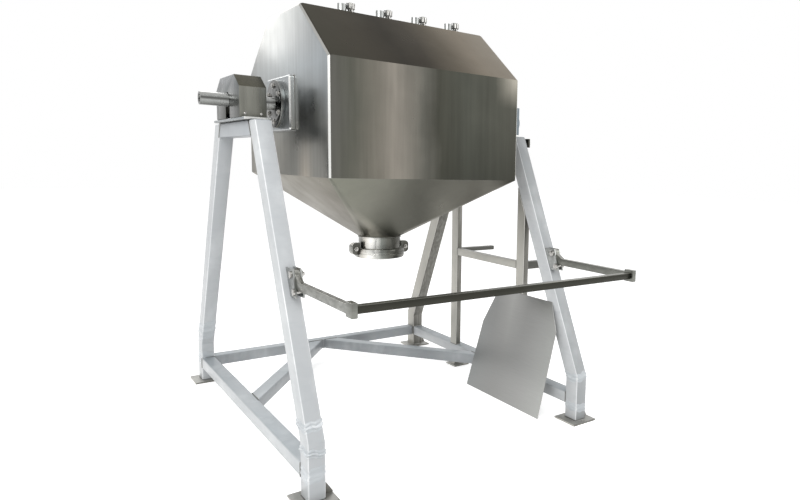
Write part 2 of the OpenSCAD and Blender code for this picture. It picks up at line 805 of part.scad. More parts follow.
// Arm with the ear that drops it under its pivot and the square block that holds the bar
module rail_arm(side) {
    ear = 3 * pin_radius;
    color(steel_brushed) mirrored(side) translate([rail_x, 0, 0]) difference() {
        union() {
            translate([-arm_width / 2, pivot_y, rail_height]) disc_x(ear, arm_width);
            along_x(arm_width) polygon([[pivot_y - ear, rail_height],
                [pivot_y + ear * sin(lean), rail_height - ear * cos(lean)],
                [pivot_y - stop_reach + pin_radius, arm_z - arm_height / 2], [bar_y, arm_z - arm_height / 2],
                [bar_y, arm_z + arm_height / 2], [pivot_y - 2 * stop_reach, arm_z + arm_height / 2]]);
            translate([0, bar_y, arm_z]) cube([arm_width, block_length, block_height], center = true);
        }
        translate([-arm_width, pivot_y, rail_height]) disc_x(pin_radius + fit, 2 * arm_width);
    }
}

module rail_bar() {
    length = 2 * rail_x - arm_width;
    color(steel_dark) translate([0, bar_y, arm_z]) difference() {
        cube([length, bar_side, bar_side], center = true);
        cube([length - 2 * tube_wall, bar_side - 2 * tube_wall, bar_side - 2 * tube_wall], center = true);
    }
}

sleeve_radius = shaft_radius + sleeve_wall;

module gearbox() {
    middle = gearbox_x + gearbox_length / 2;
    color(drive_grey) difference() {
        union() {
            translate([middle, gearbox_offset, shaft_z - worm_drop / 2])
                along_x(gearbox_length - 2 * gearbox_boss_height)
                    square([gearbox_depth, gearbox_height], center = true);
            translate([gearbox_x, 0, shaft_z]) disc_x(gearbox_boss_radius, gearbox_length);
        }
        translate([gearbox_x - over, 0, shaft_z]) disc_x(sleeve_radius + fit, gearbox_length + 2 * over);
    }
}

module drive_sleeve() {
    color(steel_bright) difference() {
        translate([gearbox_x, 0, shaft_z]) disc_x(sleeve_radius, gearbox_length);
        translate([gearbox_x - over, 0, shaft_z]) disc_x(shaft_radius + fit, gearbox_length + 2 * over);
    }
}

motor_flange = 14;
fan_cover_length = 60;
fin_count = 24;
fin_height = 7;
fin_thickness = 3;

module motor() {
    start = gearbox_offset + gearbox_depth / 2;
    color(drive_grey) translate([gearbox_x + gearbox_length / 2, start, shaft_z - worm_drop])
        rotate([-90, 0, 0]) {
            cylinder(r = motor_radius + fin_height, h = motor_flange, $fn = round_facets);
            cylinder(r = motor_radius, h = motor_length, $fn = round_facets);
            translate([0, 0, motor_length - fan_cover_length])
                cylinder(r = motor_radius + fin_height, h = fan_cover_length, $fn = round_facets);
            for (i = [0:fin_count - 1]) rotate([0, 0, i * 360 / fin_count])
                translate([0, -fin_thickness / 2, motor_flange])
                    cube([motor_radius + fin_height - fin_thickness / 2, fin_thickness,
                        motor_length - fan_cover_length - motor_flange]);
        }
}

torque_arm_thickness = 16;
torque_face = gearbox_x + gearbox_length - gearbox_boss_height;
torque_bolt_radius = 9;
torque_z = shaft_z - torque_bolt_drop;
torque_arm_height = 60;

// Plate from the gearbox to the bolt that keeps it from turning
module torque_arm() {
    front = gearbox_offset - gearbox_depth / 2;
    low = torque_bolt_y - torque_arm_height / 2;
    color(steel_dark) difference() {
        translate([torque_face - torque_arm_thickness / 2, (front + low) / 2, torque_z])
            cube([torque_arm_thickness, front - low, torque_arm_height], center = true);
        translate([gearbox_x, torque_bolt_y, torque_z]) disc_x(torque_bolt_radius + fit, 2 * gearbox_length);
    }
}

module torque_bolt() {
    nut = 2 * torque_bolt_radius;
    color(steel_bright) translate([0, torque_bolt_y, torque_z]) {
        translate([frame_outer, 0, 0]) disc_x(torque_bolt_radius, torque_face + nut - frame_outer);
        translate([torque_face, 0, 0]) rotate([0, 90, 0]) cylinder(r = nut, h = nut * 3 / 4, $fn = 6);
    }
}

panel_lean = asin((panel_step - rest) / panel_height);
// Corners of the panel as shares of its depth and height, from its rear foot
panel_corner_shares = [[0, 0], [0.06, 0.65], [0.20, 1], [0.89, 1], [1, 0.76], [0.98, 0]];
panel_rear_y = -98;

module guard_panel() {
    color(steel_pale) translate([frame_inner - panel_step, panel_rear_y, 0]) rotate([0, panel_lean, 0])
        translate([-panel_thickness / 2, 0, 0]) along_x(panel_thickness)
            polygon([for (share = panel_corner_shares) [-share[0] * panel_depth, share[1] * panel_height]]);
}

leg(-1, false);  // left_front_leg
leg(-1, true);  // left_rear_leg
leg(1, false);  // right_front_leg
leg(1, true);  // right_rear_leg
head_tube(-1);  // left_head_tube
head_tube(1);  // right_head_tube
side_beam(-1);  // left_side_beam
side_beam(1);  // right_side_beam
rear_beam();
diagonal(-1);  // left_diagonal
diagonal(1);  // right_diagonal
foot_plates();
foot_gussets();
shelf_post(front_post_y);  // front_shelf_post
shelf_post(rear_post_y);  // rear_shelf_post
shelf_tie();
shelf_bar(front_post_y, tie_height);  // front_shelf_bar
shelf_bar(rear_post_y, rear_bar_height);  // rear_shelf_bar
post_foot();
bearing_plate(-1);  // left_bearing_plate
bearing_plate(1);  // right_bearing_plate
pillow_block(-1);  // left_pillow_block
pillow_block(1);  // right_pillow_block
bearing_cover(-1);  // left_bearing_cover
bearing_cover(1);  // right_bearing_cover
bearing_bolts();
vessel_body();
vessel_hopper();
trunnion_pad(-1);  // left_trunnion_pad
trunnion_pad(1);  // right_trunnion_pad
shaft(-1, shaft_tip, true);  // left_shaft
shaft(1, gearbox_x + gearbox_length, false);  // right_shaft
flange_screws();
hatch_seat();
hatch_gasket();
hatch_lid();
hatch_hinge_ears();
hatch_hinge_pins();
clamp_knob(1);  // clamp_knob_1
clamp_knob(2);  // clamp_knob_2
clamp_knob(3);  // clamp_knob_3
clamp_knob(4);  // clamp_knob_4
outlet_neck();
outlet_gasket();
outlet_cap();
clamp_half(1);  // clamp_rear_half
clamp_half(-1);  // clamp_front_half
clamp_bolts();
clamp_nuts();
rail_brackets();
rail_pins();
rail_arm(-1);  // left_rail_arm
rail_arm(1);  // right_rail_arm
rail_bar();
gearbox();
drive_sleeve();
motor();
torque_arm();
torque_bolt();
guard_panel();
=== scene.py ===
"""Dresses the octagonal tumble blender: camera, studio, materials and the details past the CAD solids."""
import json
import math

import bmesh
import bpy
from mathutils import Matrix, Vector, noise


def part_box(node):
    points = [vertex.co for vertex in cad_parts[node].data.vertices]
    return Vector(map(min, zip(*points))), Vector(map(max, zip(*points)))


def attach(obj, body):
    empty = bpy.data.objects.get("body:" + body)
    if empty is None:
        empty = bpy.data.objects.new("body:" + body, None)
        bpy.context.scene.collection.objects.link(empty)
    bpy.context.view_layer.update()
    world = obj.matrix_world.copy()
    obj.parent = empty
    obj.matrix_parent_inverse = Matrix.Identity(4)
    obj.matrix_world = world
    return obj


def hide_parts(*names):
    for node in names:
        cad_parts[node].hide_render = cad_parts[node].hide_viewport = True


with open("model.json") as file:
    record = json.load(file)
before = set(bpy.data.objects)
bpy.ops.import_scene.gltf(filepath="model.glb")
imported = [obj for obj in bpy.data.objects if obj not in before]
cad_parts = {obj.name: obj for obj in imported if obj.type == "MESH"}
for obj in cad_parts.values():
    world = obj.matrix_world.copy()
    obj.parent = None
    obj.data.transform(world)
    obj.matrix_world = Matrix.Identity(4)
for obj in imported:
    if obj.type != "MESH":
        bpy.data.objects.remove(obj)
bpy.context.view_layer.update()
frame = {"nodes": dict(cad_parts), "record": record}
nodes = frame["nodes"]

# Camera, fitted to the photograph's corners
CAMERA_PLACE = Vector((-1.770, -3.690, 1.503))
CAMERA_YAW = math.radians(39.61)
CAMERA_PITCH = math.radians(-6.95)
CAMERA_ROLL = math.radians(1.69)
FOCAL_PIXELS = 637.54
PHOTO_WIDTH = 800
PHOTO_HEIGHT = 500
PRINCIPAL_X = 537.02
PRINCIPAL_Y = 245.63
SENSOR_WIDTH = 36

# Studio light
WORLD_LIGHT = 0.55
FLOOR_SIZE = 30
FLOOR_COLOUR = (0.86, 0.86, 0.86)
FLOOR_GLOW = 0.22
FLOOR_GLOW_SEEN = 0.62
FLOOR_ROUGHNESS = 0.9
# Name, place, target, size and power of each lamp
LAMPS = (
    ("key", (-3.5, -3.0, 5.0), (0, 0, 1.2), (3.5, 3.5), 190),
    ("fill", (4.5, -4.0, 3.5), (0, 0, 1.2), (4, 4), 90),
    ("back", (0, 5.0, 4.5), (0, 0, 1.5), (5, 3), 110),
)


def add_camera():
    ahead = Vector((math.sin(CAMERA_YAW) * math.cos(CAMERA_PITCH),
                    math.cos(CAMERA_YAW) * math.cos(CAMERA_PITCH), math.sin(CAMERA_PITCH)))
    level = Vector((math.cos(CAMERA_YAW), -math.sin(CAMERA_YAW), 0))
    upward = level.cross(ahead)
    right = level * math.cos(CAMERA_ROLL) + upward * math.sin(CAMERA_ROLL)
    up = -level * math.sin(CAMERA_ROLL) + upward * math.cos(CAMERA_ROLL)
    data = bpy.data.cameras.new("camera")
    data.sensor_fit = "HORIZONTAL"
    data.sensor_width = SENSOR_WIDTH
    data.lens = FOCAL_PIXELS / PHOTO_WIDTH * SENSOR_WIDTH
    data.shift_x = (PHOTO_WIDTH / 2 - PRINCIPAL_X) / PHOTO_WIDTH
    data.shift_y = (PRINCIPAL_Y - PHOTO_HEIGHT / 2) / PHOTO_WIDTH
    camera = bpy.data.objects.new("camera", data)
    turn = Matrix((right, up, -ahead)).transposed()
    camera.matrix_world = Matrix.Translation(CAMERA_PLACE) @ turn.to_4x4()
    bpy.context.collection.objects.link(camera)
    bpy.context.scene.camera = camera


def seen_by_eye(tree):
    """One for camera, glossy and transmission rays, zero for the rest."""
    path = tree.nodes.new("ShaderNodeLightPath")
    first = tree.nodes.new("ShaderNodeMath")
    first.operation = "MAXIMUM"
    tree.links.new(path.outputs["Is Camera Ray"], first.inputs[0])
    tree.links.new(path.outputs["Is Transmission Ray"], first.inputs[1])
    both = tree.nodes.new("ShaderNodeMath")
    both.operation = "MAXIMUM"
    tree.links.new(first.outputs[0], both.inputs[0])
    tree.links.new(path.outputs["Is Glossy Ray"], both.inputs[1])
    return both.outputs[0]


def add_world():
    world = bpy.data.worlds.new("studio")
    world.use_nodes = True
    bpy.context.scene.world = world
    tree = world.node_tree
    tree.nodes.clear()
    out = tree.nodes.new("ShaderNodeOutputWorld")
    background = tree.nodes.new("ShaderNodeBackground")
    level = tree.nodes.new("ShaderNodeMapRange")
    level.inputs["To Min"].default_value = WORLD_LIGHT
    level.inputs["To Max"].default_value = 1.0
    tree.links.new(seen_by_eye(tree), level.inputs["Value"])
    tree.links.new(level.outputs[0], background.inputs["Strength"])
    background.inputs["Color"].default_value = (1, 1, 1, 1)
    tree.links.new(background.outputs[0], out.inputs["Surface"])


def add_lamp(name, place, target, size, power):
    data = bpy.data.lights.new(name, "AREA")
    data.shape = "RECTANGLE"
    data.size, data.size_y = size
    data.energy = power
    lamp = bpy.data.objects.new(name, data)
    aim = (Vector(target) - Vector(place)).to_track_quat("-Z", "Y")
    lamp.matrix_world = Matrix.Translation(place) @ aim.to_matrix().to_4x4()
    bpy.context.collection.objects.link(lamp)


def add_floor():
    mesh = bpy.data.meshes.new("floor")
    corners = [(x * FLOOR_SIZE, y * FLOOR_SIZE, 0) for x, y in ((-1, -1), (1, -1), (1, 1), (-1, 1))]
    mesh.from_pydata(corners, [], [(0, 1, 2, 3)])
    floor = bpy.data.objects.new("floor", mesh)
    bpy.context.collection.objects.link(floor)
    material = bpy.data.materials.new("floor")
    material.use_nodes = True
    tree = material.node_tree
    shader = tree.nodes["Principled BSDF"]
    shader.inputs["Base Color"].default_value = (*FLOOR_COLOUR, 1)
    shader.inputs["Roughness"].default_value = FLOOR_ROUGHNESS
    shader.inputs["Emission Color"].default_value = (1, 1, 1, 1)
    glow = tree.nodes.new("ShaderNodeMapRange")
    glow.inputs["To Min"].default_value = FLOOR_GLOW
    glow.inputs["To Max"].default_value = FLOOR_GLOW_SEEN
    tree.links.new(seen_by_eye(tree), glow.inputs["Value"])
    tree.links.new(glow.outputs[0], shader.inputs["Emission Strength"])
    mesh.materials.append(material)


# Window of a noise's values that a range is spread over
SOFT = (0.3, 0.7)


class Nodes:
    """Short helpers to build one material's node tree."""

    def __init__(self, name, base, rough, metallic, specular=0.5):
        self.material = bpy.data.materials.new(name)
        self.material.use_nodes = True
        self.tree = self.material.node_tree
        self.shader = self.tree.nodes["Principled BSDF"]
        self.shader.inputs["Base Color"].default_value = (*base, 1)
        self.shader.inputs["Roughness"].default_value = rough
        self.shader.inputs["Metallic"].default_value = metallic
        self.shader.inputs["Specular IOR Level"].default_value = specular
        self.coords = self.tree.nodes.new("ShaderNodeTexCoord")

    def link(self, out, into):
        self.tree.links.new(out, into)

    def mapped(self, scale):
        node = self.tree.nodes.new("ShaderNodeMapping")
        node.inputs["Scale"].default_value = scale
        self.link(self.coords.outputs["Object"], node.inputs["Vector"])
        return node.outputs[0]

    def noise(self, scale, detail=4, stretch=(1, 1, 1)):
        node = self.tree.nodes.new("ShaderNodeTexNoise")
        node.inputs["Scale"].default_value = scale
        node.inputs["Detail"].default_value = detail
        self.link(self.mapped(stretch), node.inputs["Vector"])
        return node.outputs["Fac"]

    def ramp(self, value, stops):
        node = self.tree.nodes.new("ShaderNodeValToRGB")
        ramp = node.color_ramp
        while len(ramp.elements) < len(stops):
            ramp.elements.new(0.5)
        for element, (place, colour) in zip(ramp.elements, stops):
            element.position = place
            element.color = (*colour, 1)
        self.link(value, node.inputs["Fac"])
        return node.outputs["Color"]

    def range(self, value, low, high, from_low=0.0, from_high=1.0):
        node = self.tree.nodes.new("ShaderNodeMapRange")
        node.inputs["From Min"].default_value = from_low
        node.inputs["From Max"].default_value = from_high
        node.inputs["To Min"].default_value = low
        node.inputs["To Max"].default_value = high
        self.link(value, node.inputs["Value"])
        return node.outputs[0]

    def mix(self, factor, first, second, kind="MIX"):
        node = self.tree.nodes.new("ShaderNodeMix")
        node.data_type = "RGBA"
        node.blend_type = kind
        for value, socket in ((factor, node.inputs["Factor"]), (first, node.inputs["A"]),
                              (second, node.inputs["B"])):
            if isinstance(value, (int, float)):
                socket.default_value = value
            elif isinstance(value, tuple):
                socket.default_value = (*value, 1)
            else:
                self.link(value, socket)
        return node.outputs["Result"]

    def bump(self, height, strength, distance):
        node = self.tree.nodes.new("ShaderNodeBump")
        node.inputs["Strength"].default_value = strength
        node.inputs["Distance"].default_value = distance
        self.link(height, node.inputs["Height"])
        previous = self.shader.inputs["Normal"].links
        if previous:
            self.link(previous[0].from_socket, node.inputs["Normal"])
        self.link(node.outputs[0], self.shader.inputs["Normal"])

    def axes(self, name, letters):
        """The wanted axes, such as XZ, of the Object or the Normal coordinates."""
        node = self.tree.nodes.new("ShaderNodeSeparateXYZ")
        self.link(self.coords.outputs[name], node.inputs[0])
        return [node.outputs[letter] for letter in letters]

    def streaked(self, colour, grain, bright, strength):
        """A colour with dark and light streaks laid over it."""
        low, high = SOFT
        streaks = self.ramp(grain, [(low, (0, 0, 0)), (high, (bright, bright, bright))])
        return self.mix(strength, colour, streaks, "OVERLAY")

    def math(self, operation, first, second=0.0):
        node = self.tree.nodes.new("ShaderNodeMath")
        node.operation = operation
        for value, socket in ((first, node.inputs[0]), (second, node.inputs[1])):
            if isinstance(value, (int, float)):
                socket.default_value = value
            else:
                self.link(value, socket)
        return node.outputs[0]

    def paint(self, colour):
        self.link(colour, self.shader.inputs["Base Color"])

    def rough(self, value):
        self.link(value, self.shader.inputs["Roughness"])


def linear(value):
    """Linear light of one screen value from 0 to 255."""
    share = value / 255
    return ((share + 0.055) / 1.055) ** 2.4 if value > 10 else share / 12.92


def tone(red, green, blue, gain=1.0):
    """Linear colour of a tone written as it looks on a screen."""
    return tuple(gain * linear(value) for value in (red, green, blue))


# Bare metal also shows the pale studio, so its own colour is taken down to this share
METAL_GAIN = 0.8


def metal(red, green, blue):
    return tone(red, green, blue, METAL_GAIN)


def tones(*stops):
    return [(place, metal(*colour)) for place, colour in stops]


def brushed(name, base, rough, grain=(1, 1, 60), spread=0.12, metallic=1.0):
    """One colour with fine streaks and soft clouds."""
    n = Nodes(name, base, rough, metallic)
    streaks = n.noise(18, 6, grain)
    cloud = n.noise(2.2, 3)
    dark = tuple(v * (1 - spread) for v in base)
    light = tuple(min(1, v * (1 + spread)) for v in base)
    colour = n.mix(n.range(streaks, 0, 1, *SOFT), dark, light)
    n.paint(n.mix(n.range(cloud, 0, 0.5, *SOFT), colour, tuple(v * 0.82 for v in base)))
    n.rough(n.range(streaks, rough * 0.8, rough * 1.25, *SOFT))
    n.bump(streaks, 0.08, 0.0006)
    return n.material


# Vessel: tint of its shine at grazing angles, and the boxes of its two shells
GRAZING_TINT = (0.90, 0.88, 0.84)
VESSEL_LOW, VESSEL_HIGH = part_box("vessel_body")
HOPPER_LOW, HOPPER_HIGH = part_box("vessel_hopper")
# Painted highlight line up the hopper: its place at the neck, its lean for each metre up, and its half width
HIGHLIGHT_LINE_START = -0.035
HIGHLIGHT_LINE_SLOPE = 1.75
HIGHLIGHT_LINE_WIDTH = 0.06
# Heights between which the painted glare at the drive end comes in
GLARE_HEIGHTS = (1.84, 2.0)


def wall_colour(n, along, z):
    """Upright walls with painted reflections: a light band left of the middle, dark to the right, a painted
    glare at the drive end.
    """
    wall = n.ramp(along, tones((0, (106, 105, 100)), (0.09, (108, 108, 99)), (0.2, (133, 129, 119)),
                               (0.29, (156, 150, 140)), (0.37, (138, 134, 125)), (0.45, (104, 103, 96)),
                               (0.54, (70, 70, 63)), (0.68, (67, 68, 62)), (1, (66, 66, 60))))
    glare = n.math("MULTIPLY", n.range(along, 0, 1, 0.88, 1.0), n.range(z, 0, 1, *GLARE_HEIGHTS))
    return n.mix(glare, wall, metal(140, 136, 126))


def top_colour(n, along, nz):
    """Shoulders with painted reflections that turn from dark to light along the vessel, and painted light on
    a pale roof.
    """
    shoulder = n.ramp(along, tones((0, (66, 64, 56)), (0.2, (60, 56, 48)), (0.36, (34, 30, 24)),
                                   (0.5, (46, 40, 32)), (0.66, (90, 82, 69)), (0.82, (130, 120, 106)),
                                   (1, (146, 138, 126))))
    return n.mix(n.range(nz, 0, 1, 0.85, 0.99), shoulder, metal(176, 178, 178))


def hopper_colour(n, along, x, z, side):
    """Hopper slopes with painted reflections, lighter to the left, a painted highlight line from the neck
    towards the left front corner, and painted shade on the end slopes.
    """
    depth = n.range(z, 0, 1, HOPPER_LOW[2], HOPPER_HIGH[2])
    # Painted highlight line from the neck towards the left front corner
    rise = n.math("MULTIPLY", n.math("SUBTRACT", z, HOPPER_LOW[2]), HIGHLIGHT_LINE_SLOPE)
    highlight_line = n.math("ADD", n.math("SUBTRACT", x, HIGHLIGHT_LINE_START), rise)
    highlight_line = n.range(n.math("ABSOLUTE", highlight_line), 1, 0, 0.0, HIGHLIGHT_LINE_WIDTH)
    slope = n.ramp(along, tones((0, (131, 133, 121)), (0.25, (132, 132, 122)), (0.42, (110, 110, 101)),
                                (0.7, (100, 100, 92)), (1, (74, 74, 67))))
    slope = n.mix(n.math("MULTIPLY", highlight_line, n.range(depth, 0.7, 0, 0, 0.9)), slope, metal(196, 192, 182))
    # Painted shade on the end slopes
    end_slope = n.ramp(depth, tones((0, (58, 57, 48)), (0.6, (60, 52, 38)), (1, (62, 50, 34))))
    return n.mix(n.range(side, 0, 1, 0.45, 0.6), slope, end_slope)


def end_colour(n, height, y):
    """Ends of the vessel, with painted light pale above and darker below, and a beige patch low at the front.
    """
    end = n.ramp(height, tones((0, (142, 142, 138)), (0.22, (146, 146, 142)), (0.4, (156, 160, 162)),
                               (0.62, (178, 185, 190)), (0.82, (176, 180, 183)), (1, (176, 180, 182))))
    across = n.range(y, 0, 1, VESSEL_LOW[1], VESSEL_HIGH[1])
    beige = n.math("MULTIPLY", n.range(n.math("ABSOLUTE", n.math("SUBTRACT", across, 0.25)), 1, 0, 0.01, 0.1),
                   n.range(height, 1, 0, 0.0, 0.3))
    return n.mix(n.math("MULTIPLY", beige, 0.8), end, metal(188, 179, 167))


def vessel_steel():
    """Satin sheet whose broad reflections follow the faces, as the photograph shows them."""
    n = Nodes("vessel_steel", metal(110, 108, 100), 0.3, 1.0)
    n.shader.inputs["Specular Tint"].default_value = (*GRAZING_TINT, 1)
    x, y, z = n.axes("Object", "XYZ")
    nx, nz = n.axes("Normal", "XZ")
    side = n.math("ABSOLUTE", nx)
    wander = n.range(n.noise(2.5, 3), -0.03, 0.03, *SOFT)
    along = n.math("ADD", n.range(x, 0, 1, VESSEL_LOW[0], VESSEL_HIGH[0]), wander)
    height = n.math("ADD", n.range(z, 0, 1, VESSEL_LOW[2], VESSEL_HIGH[2]), wander)
    # Painted reflections, light and shade, chosen face by face: walls, then shoulders and roof, then hopper,
    # then ends
    body = n.mix(n.range(nz, 0, 1, 0.2, 0.5), wall_colour(n, along, z), top_colour(n, along, nz))
    body = n.mix(n.range(nz, 1, 0, -0.5, -0.25), body, hopper_colour(n, along, x, z, side))
    upright = n.range(n.math("ABSOLUTE", nz), 1, 0, 0.2, 0.35)
    body = n.mix(n.math("MULTIPLY", n.range(side, 0, 1, 0.9, 0.97), upright), body, end_colour(n, height, y))
    # Painted highlight along the rounded folds at the ends
    fold_highlight = n.math("MULTIPLY", n.range(side, 0, 1, 0.45, 0.6), n.range(side, 1, 0, 0.93, 0.975))
    fold_highlight = n.math("MULTIPLY", fold_highlight, n.range(nz, 0, 1, -0.3, -0.1))
    body = n.mix(n.math("MULTIPLY", fold_highlight, n.range(nz, 1, 0.4, 0.3, 0.6)), body, metal(250, 250, 246))
    strength = n.range(n.math("ABSOLUTE", nz), 0.14, 0.03, 0.1, 0.4)
    n.paint(n.streaked(body, n.noise(30, 5, (1, 1, 0.05)), 0.7, strength))
    n.rough(n.range(n.noise(6, 4), 0.27, 0.36, *SOFT))
    n.bump(n.noise(5, 2), 0.05, 0.002)
    return n.material


# Upward share of the normal on the cover's slopes
COVER_SLOPE = 0.72


def cover_steel():
    """Folded sheet with painted light and shade: even walls, ends that are darker below, dark slopes and a
    pale top.
    """
    n = Nodes("cover_steel", metal(140, 140, 132), 0.26, 1.0)
    [z] = n.axes("Object", "Z")
    nx, nz = n.axes("Normal", "XZ")
    low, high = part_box("left_bearing_cover")
    height = n.range(z, 0, 1, low[2], high[2])
    # Painted reflections on the ends, darker below
    face = n.ramp(height, tones((0, (88, 89, 86)), (0.35, (96, 98, 94)), (0.5, (118, 121, 120)),
                                (0.75, (108, 113, 114)), (1, (130, 134, 137))))
    plain = n.ramp(height, tones((0, (134, 134, 126)), (0.6, (144, 144, 136)), (1, (150, 149, 140))))
    colour = n.mix(n.range(n.math("ABSOLUTE", nx), 0, 1, 0.6, 0.8), plain, face)
    # Painted shade on the slopes, then painted light on the top
    slope = n.range(n.math("ABSOLUTE", n.math("SUBTRACT", nz, COVER_SLOPE)), 1, 0, 0.15, 0.3)
    colour = n.mix(slope, colour, metal(92, 90, 78))
    colour = n.mix(n.range(nz, 0, 1, 0.93, 0.99), colour, metal(170, 172, 170))
    streaks = n.noise(40, 5, (1, 1, 0.06))
    n.paint(n.streaked(colour, streaks, 0.75, 0.15))
    n.rough(n.range(streaks, 0.2, 0.34, *SOFT))
    n.bump(n.noise(180, 3, (1, 1, 0.06)), 0.05, 0.0003)
    return n.material


def panel_steel():
    """Satin loose sheet with a soft painted highlight streak from its upper middle."""
    n = Nodes("panel_steel", metal(160, 160, 158), 0.38, 1.0)
    low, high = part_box("guard_panel")
    y, z = n.axes("Object", "YZ")
    across = n.range(y, 1, 0, low[1], high[1])
    height = n.range(z, 0, 1, low[2], high[2])
    base = n.ramp(across, tones((0, (150, 152, 151)), (0.35, (156, 156, 154)), (0.7, (170, 170, 168)),
                                (1, (184, 185, 182))))
    # Painted highlight streak from the upper middle, stronger higher up
    streak = n.math("ABSOLUTE", n.math("SUBTRACT", across, 0.42))
    glow = n.math("MULTIPLY", n.range(streak, 0.7, 0, 0, 0.2), n.range(height, 0, 1, 0.35, 1.0))
    base = n.mix(glow, base, metal(192, 192, 189))
    grain = n.noise(320, 3, (1, 0.03, 1))
    n.paint(n.streaked(base, grain, 0.8, 0.05))
    n.rough(n.range(grain, 0.32, 0.4, *SOFT))
    n.bump(grain, 0.02, 0.0002)
    return n.material


def face_light_and_shade(n, end_face, front_face, lit_top, shaded_under, corner):
    """Painted light and shade by the way a face looks, with a painted highlight line along the upright
    corners.
    """
    nx, ny, nz = n.axes("Normal", "XYZ")
    side = n.math("ABSOLUTE", nx)
    shade = n.mix(n.range(side, 0, 1, 0.5, 0.75), front_face, end_face)
    shade = n.mix(n.range(nz, 0, 1, 0.6, 0.8), shade, lit_top)
    shade = n.mix(n.range(nz, 1, 0, -0.8, -0.6), shade, shaded_under)
    # Mask of the painted highlight along the upright corners
    both = n.math("MULTIPLY", side, n.math("ABSOLUTE", ny))
    return n.mix(n.range(both, 0, 1, 0.2, 0.4), shade, corner)


# Painted light on the film's top faces, painted shade on its under faces and a painted highlight along the
# tubes' corners
FILM_LIT_TOP = tone(150, 158, 163)
FILM_SHADED_UNDER = tone(96, 100, 104)
FILM_CORNER_HIGHLIGHT = tone(250, 251, 252)


def film_wrap(name, end_face, front_face, corner):
    """Tube under pale protective film: soft wrinkles, cloudy patches and a faint sheen, with painted light
    and shade face by face, a painted highlight on the crumples and painted shade in the folds.
    """
    n = Nodes(name, end_face, 0.38, 0)
    crumple = n.noise(9, 5, (1, 1, 0.45))
    patches = n.noise(3.0, 3)
    creases = n.noise(45, 4, (1, 1, 0.3))
    folds = n.noise(26, 3, (0.4, 0.4, 1.6))
    # Painted light and shade face by face
    shade = face_light_and_shade(n, end_face, front_face, FILM_LIT_TOP, FILM_SHADED_UNDER, corner)
    shade = n.mix(n.range(patches, 0, 0.5, 0.35, 0.65), shade, tone(178, 182, 185))
    # Painted highlight on the crumples
    shade = n.mix(n.range(crumple, 0, 0.3, 0.5, 0.75), shade, tone(228, 231, 232))
    # Painted shade in the folds
    shade = n.mix(n.range(folds, 0, 0.18, 0.5, 0.75), shade, tone(160, 166, 171))
    n.paint(shade)
    n.rough(n.range(crumple, 0.28, 0.5, *SOFT))
    n.bump(crumple, 0.35, 0.005)
    n.bump(folds, 0.2, 0.0015)
    n.bump(creases, 0.14, 0.001)
    return n.material


def loose_film():
    """Film gathered clear of the tube, with sharp bright creases, painted light and shade face by face and
    painted shade in its folds.
    """
    n = Nodes("loose_film", tone(200, 205, 208), 0.3, 0)
    folds = n.noise(22, 4, (0.5, 0.5, 2.4))
    # Painted light and shade face by face, with a painted highlight on the corners
    shade = face_light_and_shade(n, tone(206, 211, 214), tone(192, 197, 200), tone(226, 230, 232), tone(132, 137, 140),
                       tone(242, 244, 245))
    # Painted shade in the folds
    shade = n.mix(n.range(folds, 0, 0.5, 0.35, 0.65), shade, tone(168, 173, 177))
    n.paint(shade)
    n.rough(n.range(folds, 0.22, 0.45, *SOFT))
    n.bump(folds, 0.3, 0.002)
    return n.material


def bare_tube():
    """Tube without film, with painted light and shade face by face: pale ends, darker front faces, painted
    highlights on the corners.
    """
    n = Nodes("bare_tube", tone(172, 170, 163), 0.42, 0.5)
    cloud = n.noise(3, 4)
    grain = n.noise(60, 4, (1, 1, 0.08))
    # Painted light and shade face by face, with painted highlights on the corners
    shade = face_light_and_shade(n, tone(186, 184, 176), tone(92, 91, 85), tone(158, 158, 154), tone(84, 84, 80),
                       tone(226, 225, 220))
    shade = n.mix(n.range(cloud, 0, 0.4, *SOFT), shade, tone(140, 138, 131))
    n.paint(n.mix(n.range(grain, 0, 0.3, 0.4, 0.7), shade, tone(186, 185, 180)))
    n.rough(n.range(grain, 0.34, 0.5, *SOFT))
    n.bump(grain, 0.1, 0.0005)
    return n.material


# Distances from the middle between which the flange's painted shade gives way to the shaft's end
FLANGE_REACH = (0.70, 0.72)


def turned(name, light, dark):
    """Turned bar with rings round the shaft's line, painted shade beneath, a painted dark reflection band low
    on its side, a painted highlight on top and painted shade on the flange's face.
    """
    n = Nodes(name, light, 0.22, 1.0)
    nx, nz = n.axes("Normal", "XZ")
    [x] = n.axes("Object", "X")
    rings = n.noise(160, 3, (1, 0.02, 0.02))
    # Painted light and shade round the bar: dark beneath, a dark reflection band, a highlight on top
    shade = n.ramp(n.range(nz, 0, 1, -1, 1), [(0, dark), (0.38, light), (0.55, metal(92, 92, 90)),
                                              (0.72, light), (1, metal(222, 222, 220))])
    # Painted shade on the flange's face
    flange = n.math("MULTIPLY", n.range(n.math("ABSOLUTE", nx), 0, 1, 0.6, 0.9),
                    n.range(n.math("ABSOLUTE", x), 1, 0, *FLANGE_REACH))
    shade = n.mix(flange, shade, metal(78, 79, 77))
    n.paint(n.mix(n.range(rings, 0, 0.25, *SOFT), shade, dark))
    n.rough(n.range(rings, 0.16, 0.3, *SOFT))
    n.bump(rings, 0.06, 0.0004)
    return n.material


def pad_steel():
    """Ground plate: grey ends, with painted highlights on its front faces and corners, painted light on top
    and painted shade beneath.
    """
    n = Nodes("pad_steel", metal(168, 172, 174), 0.28, 1.0)
    # Painted highlights on the front faces and corners, painted shade beneath
    shade = face_light_and_shade(n, metal(166, 172, 175), metal(240, 240, 236), metal(200, 202, 200),
                       metal(96, 96, 92), metal(250, 250, 247))
    grain = n.noise(60, 4, (1, 1, 0.1))
    n.paint(n.mix(n.range(grain, 0, 0.25, *SOFT), shade, metal(140, 143, 143)))
    n.rough(n.range(grain, 0.22, 0.36, *SOFT))
    n.bump(grain, 0.06, 0.0004)
    return n.material


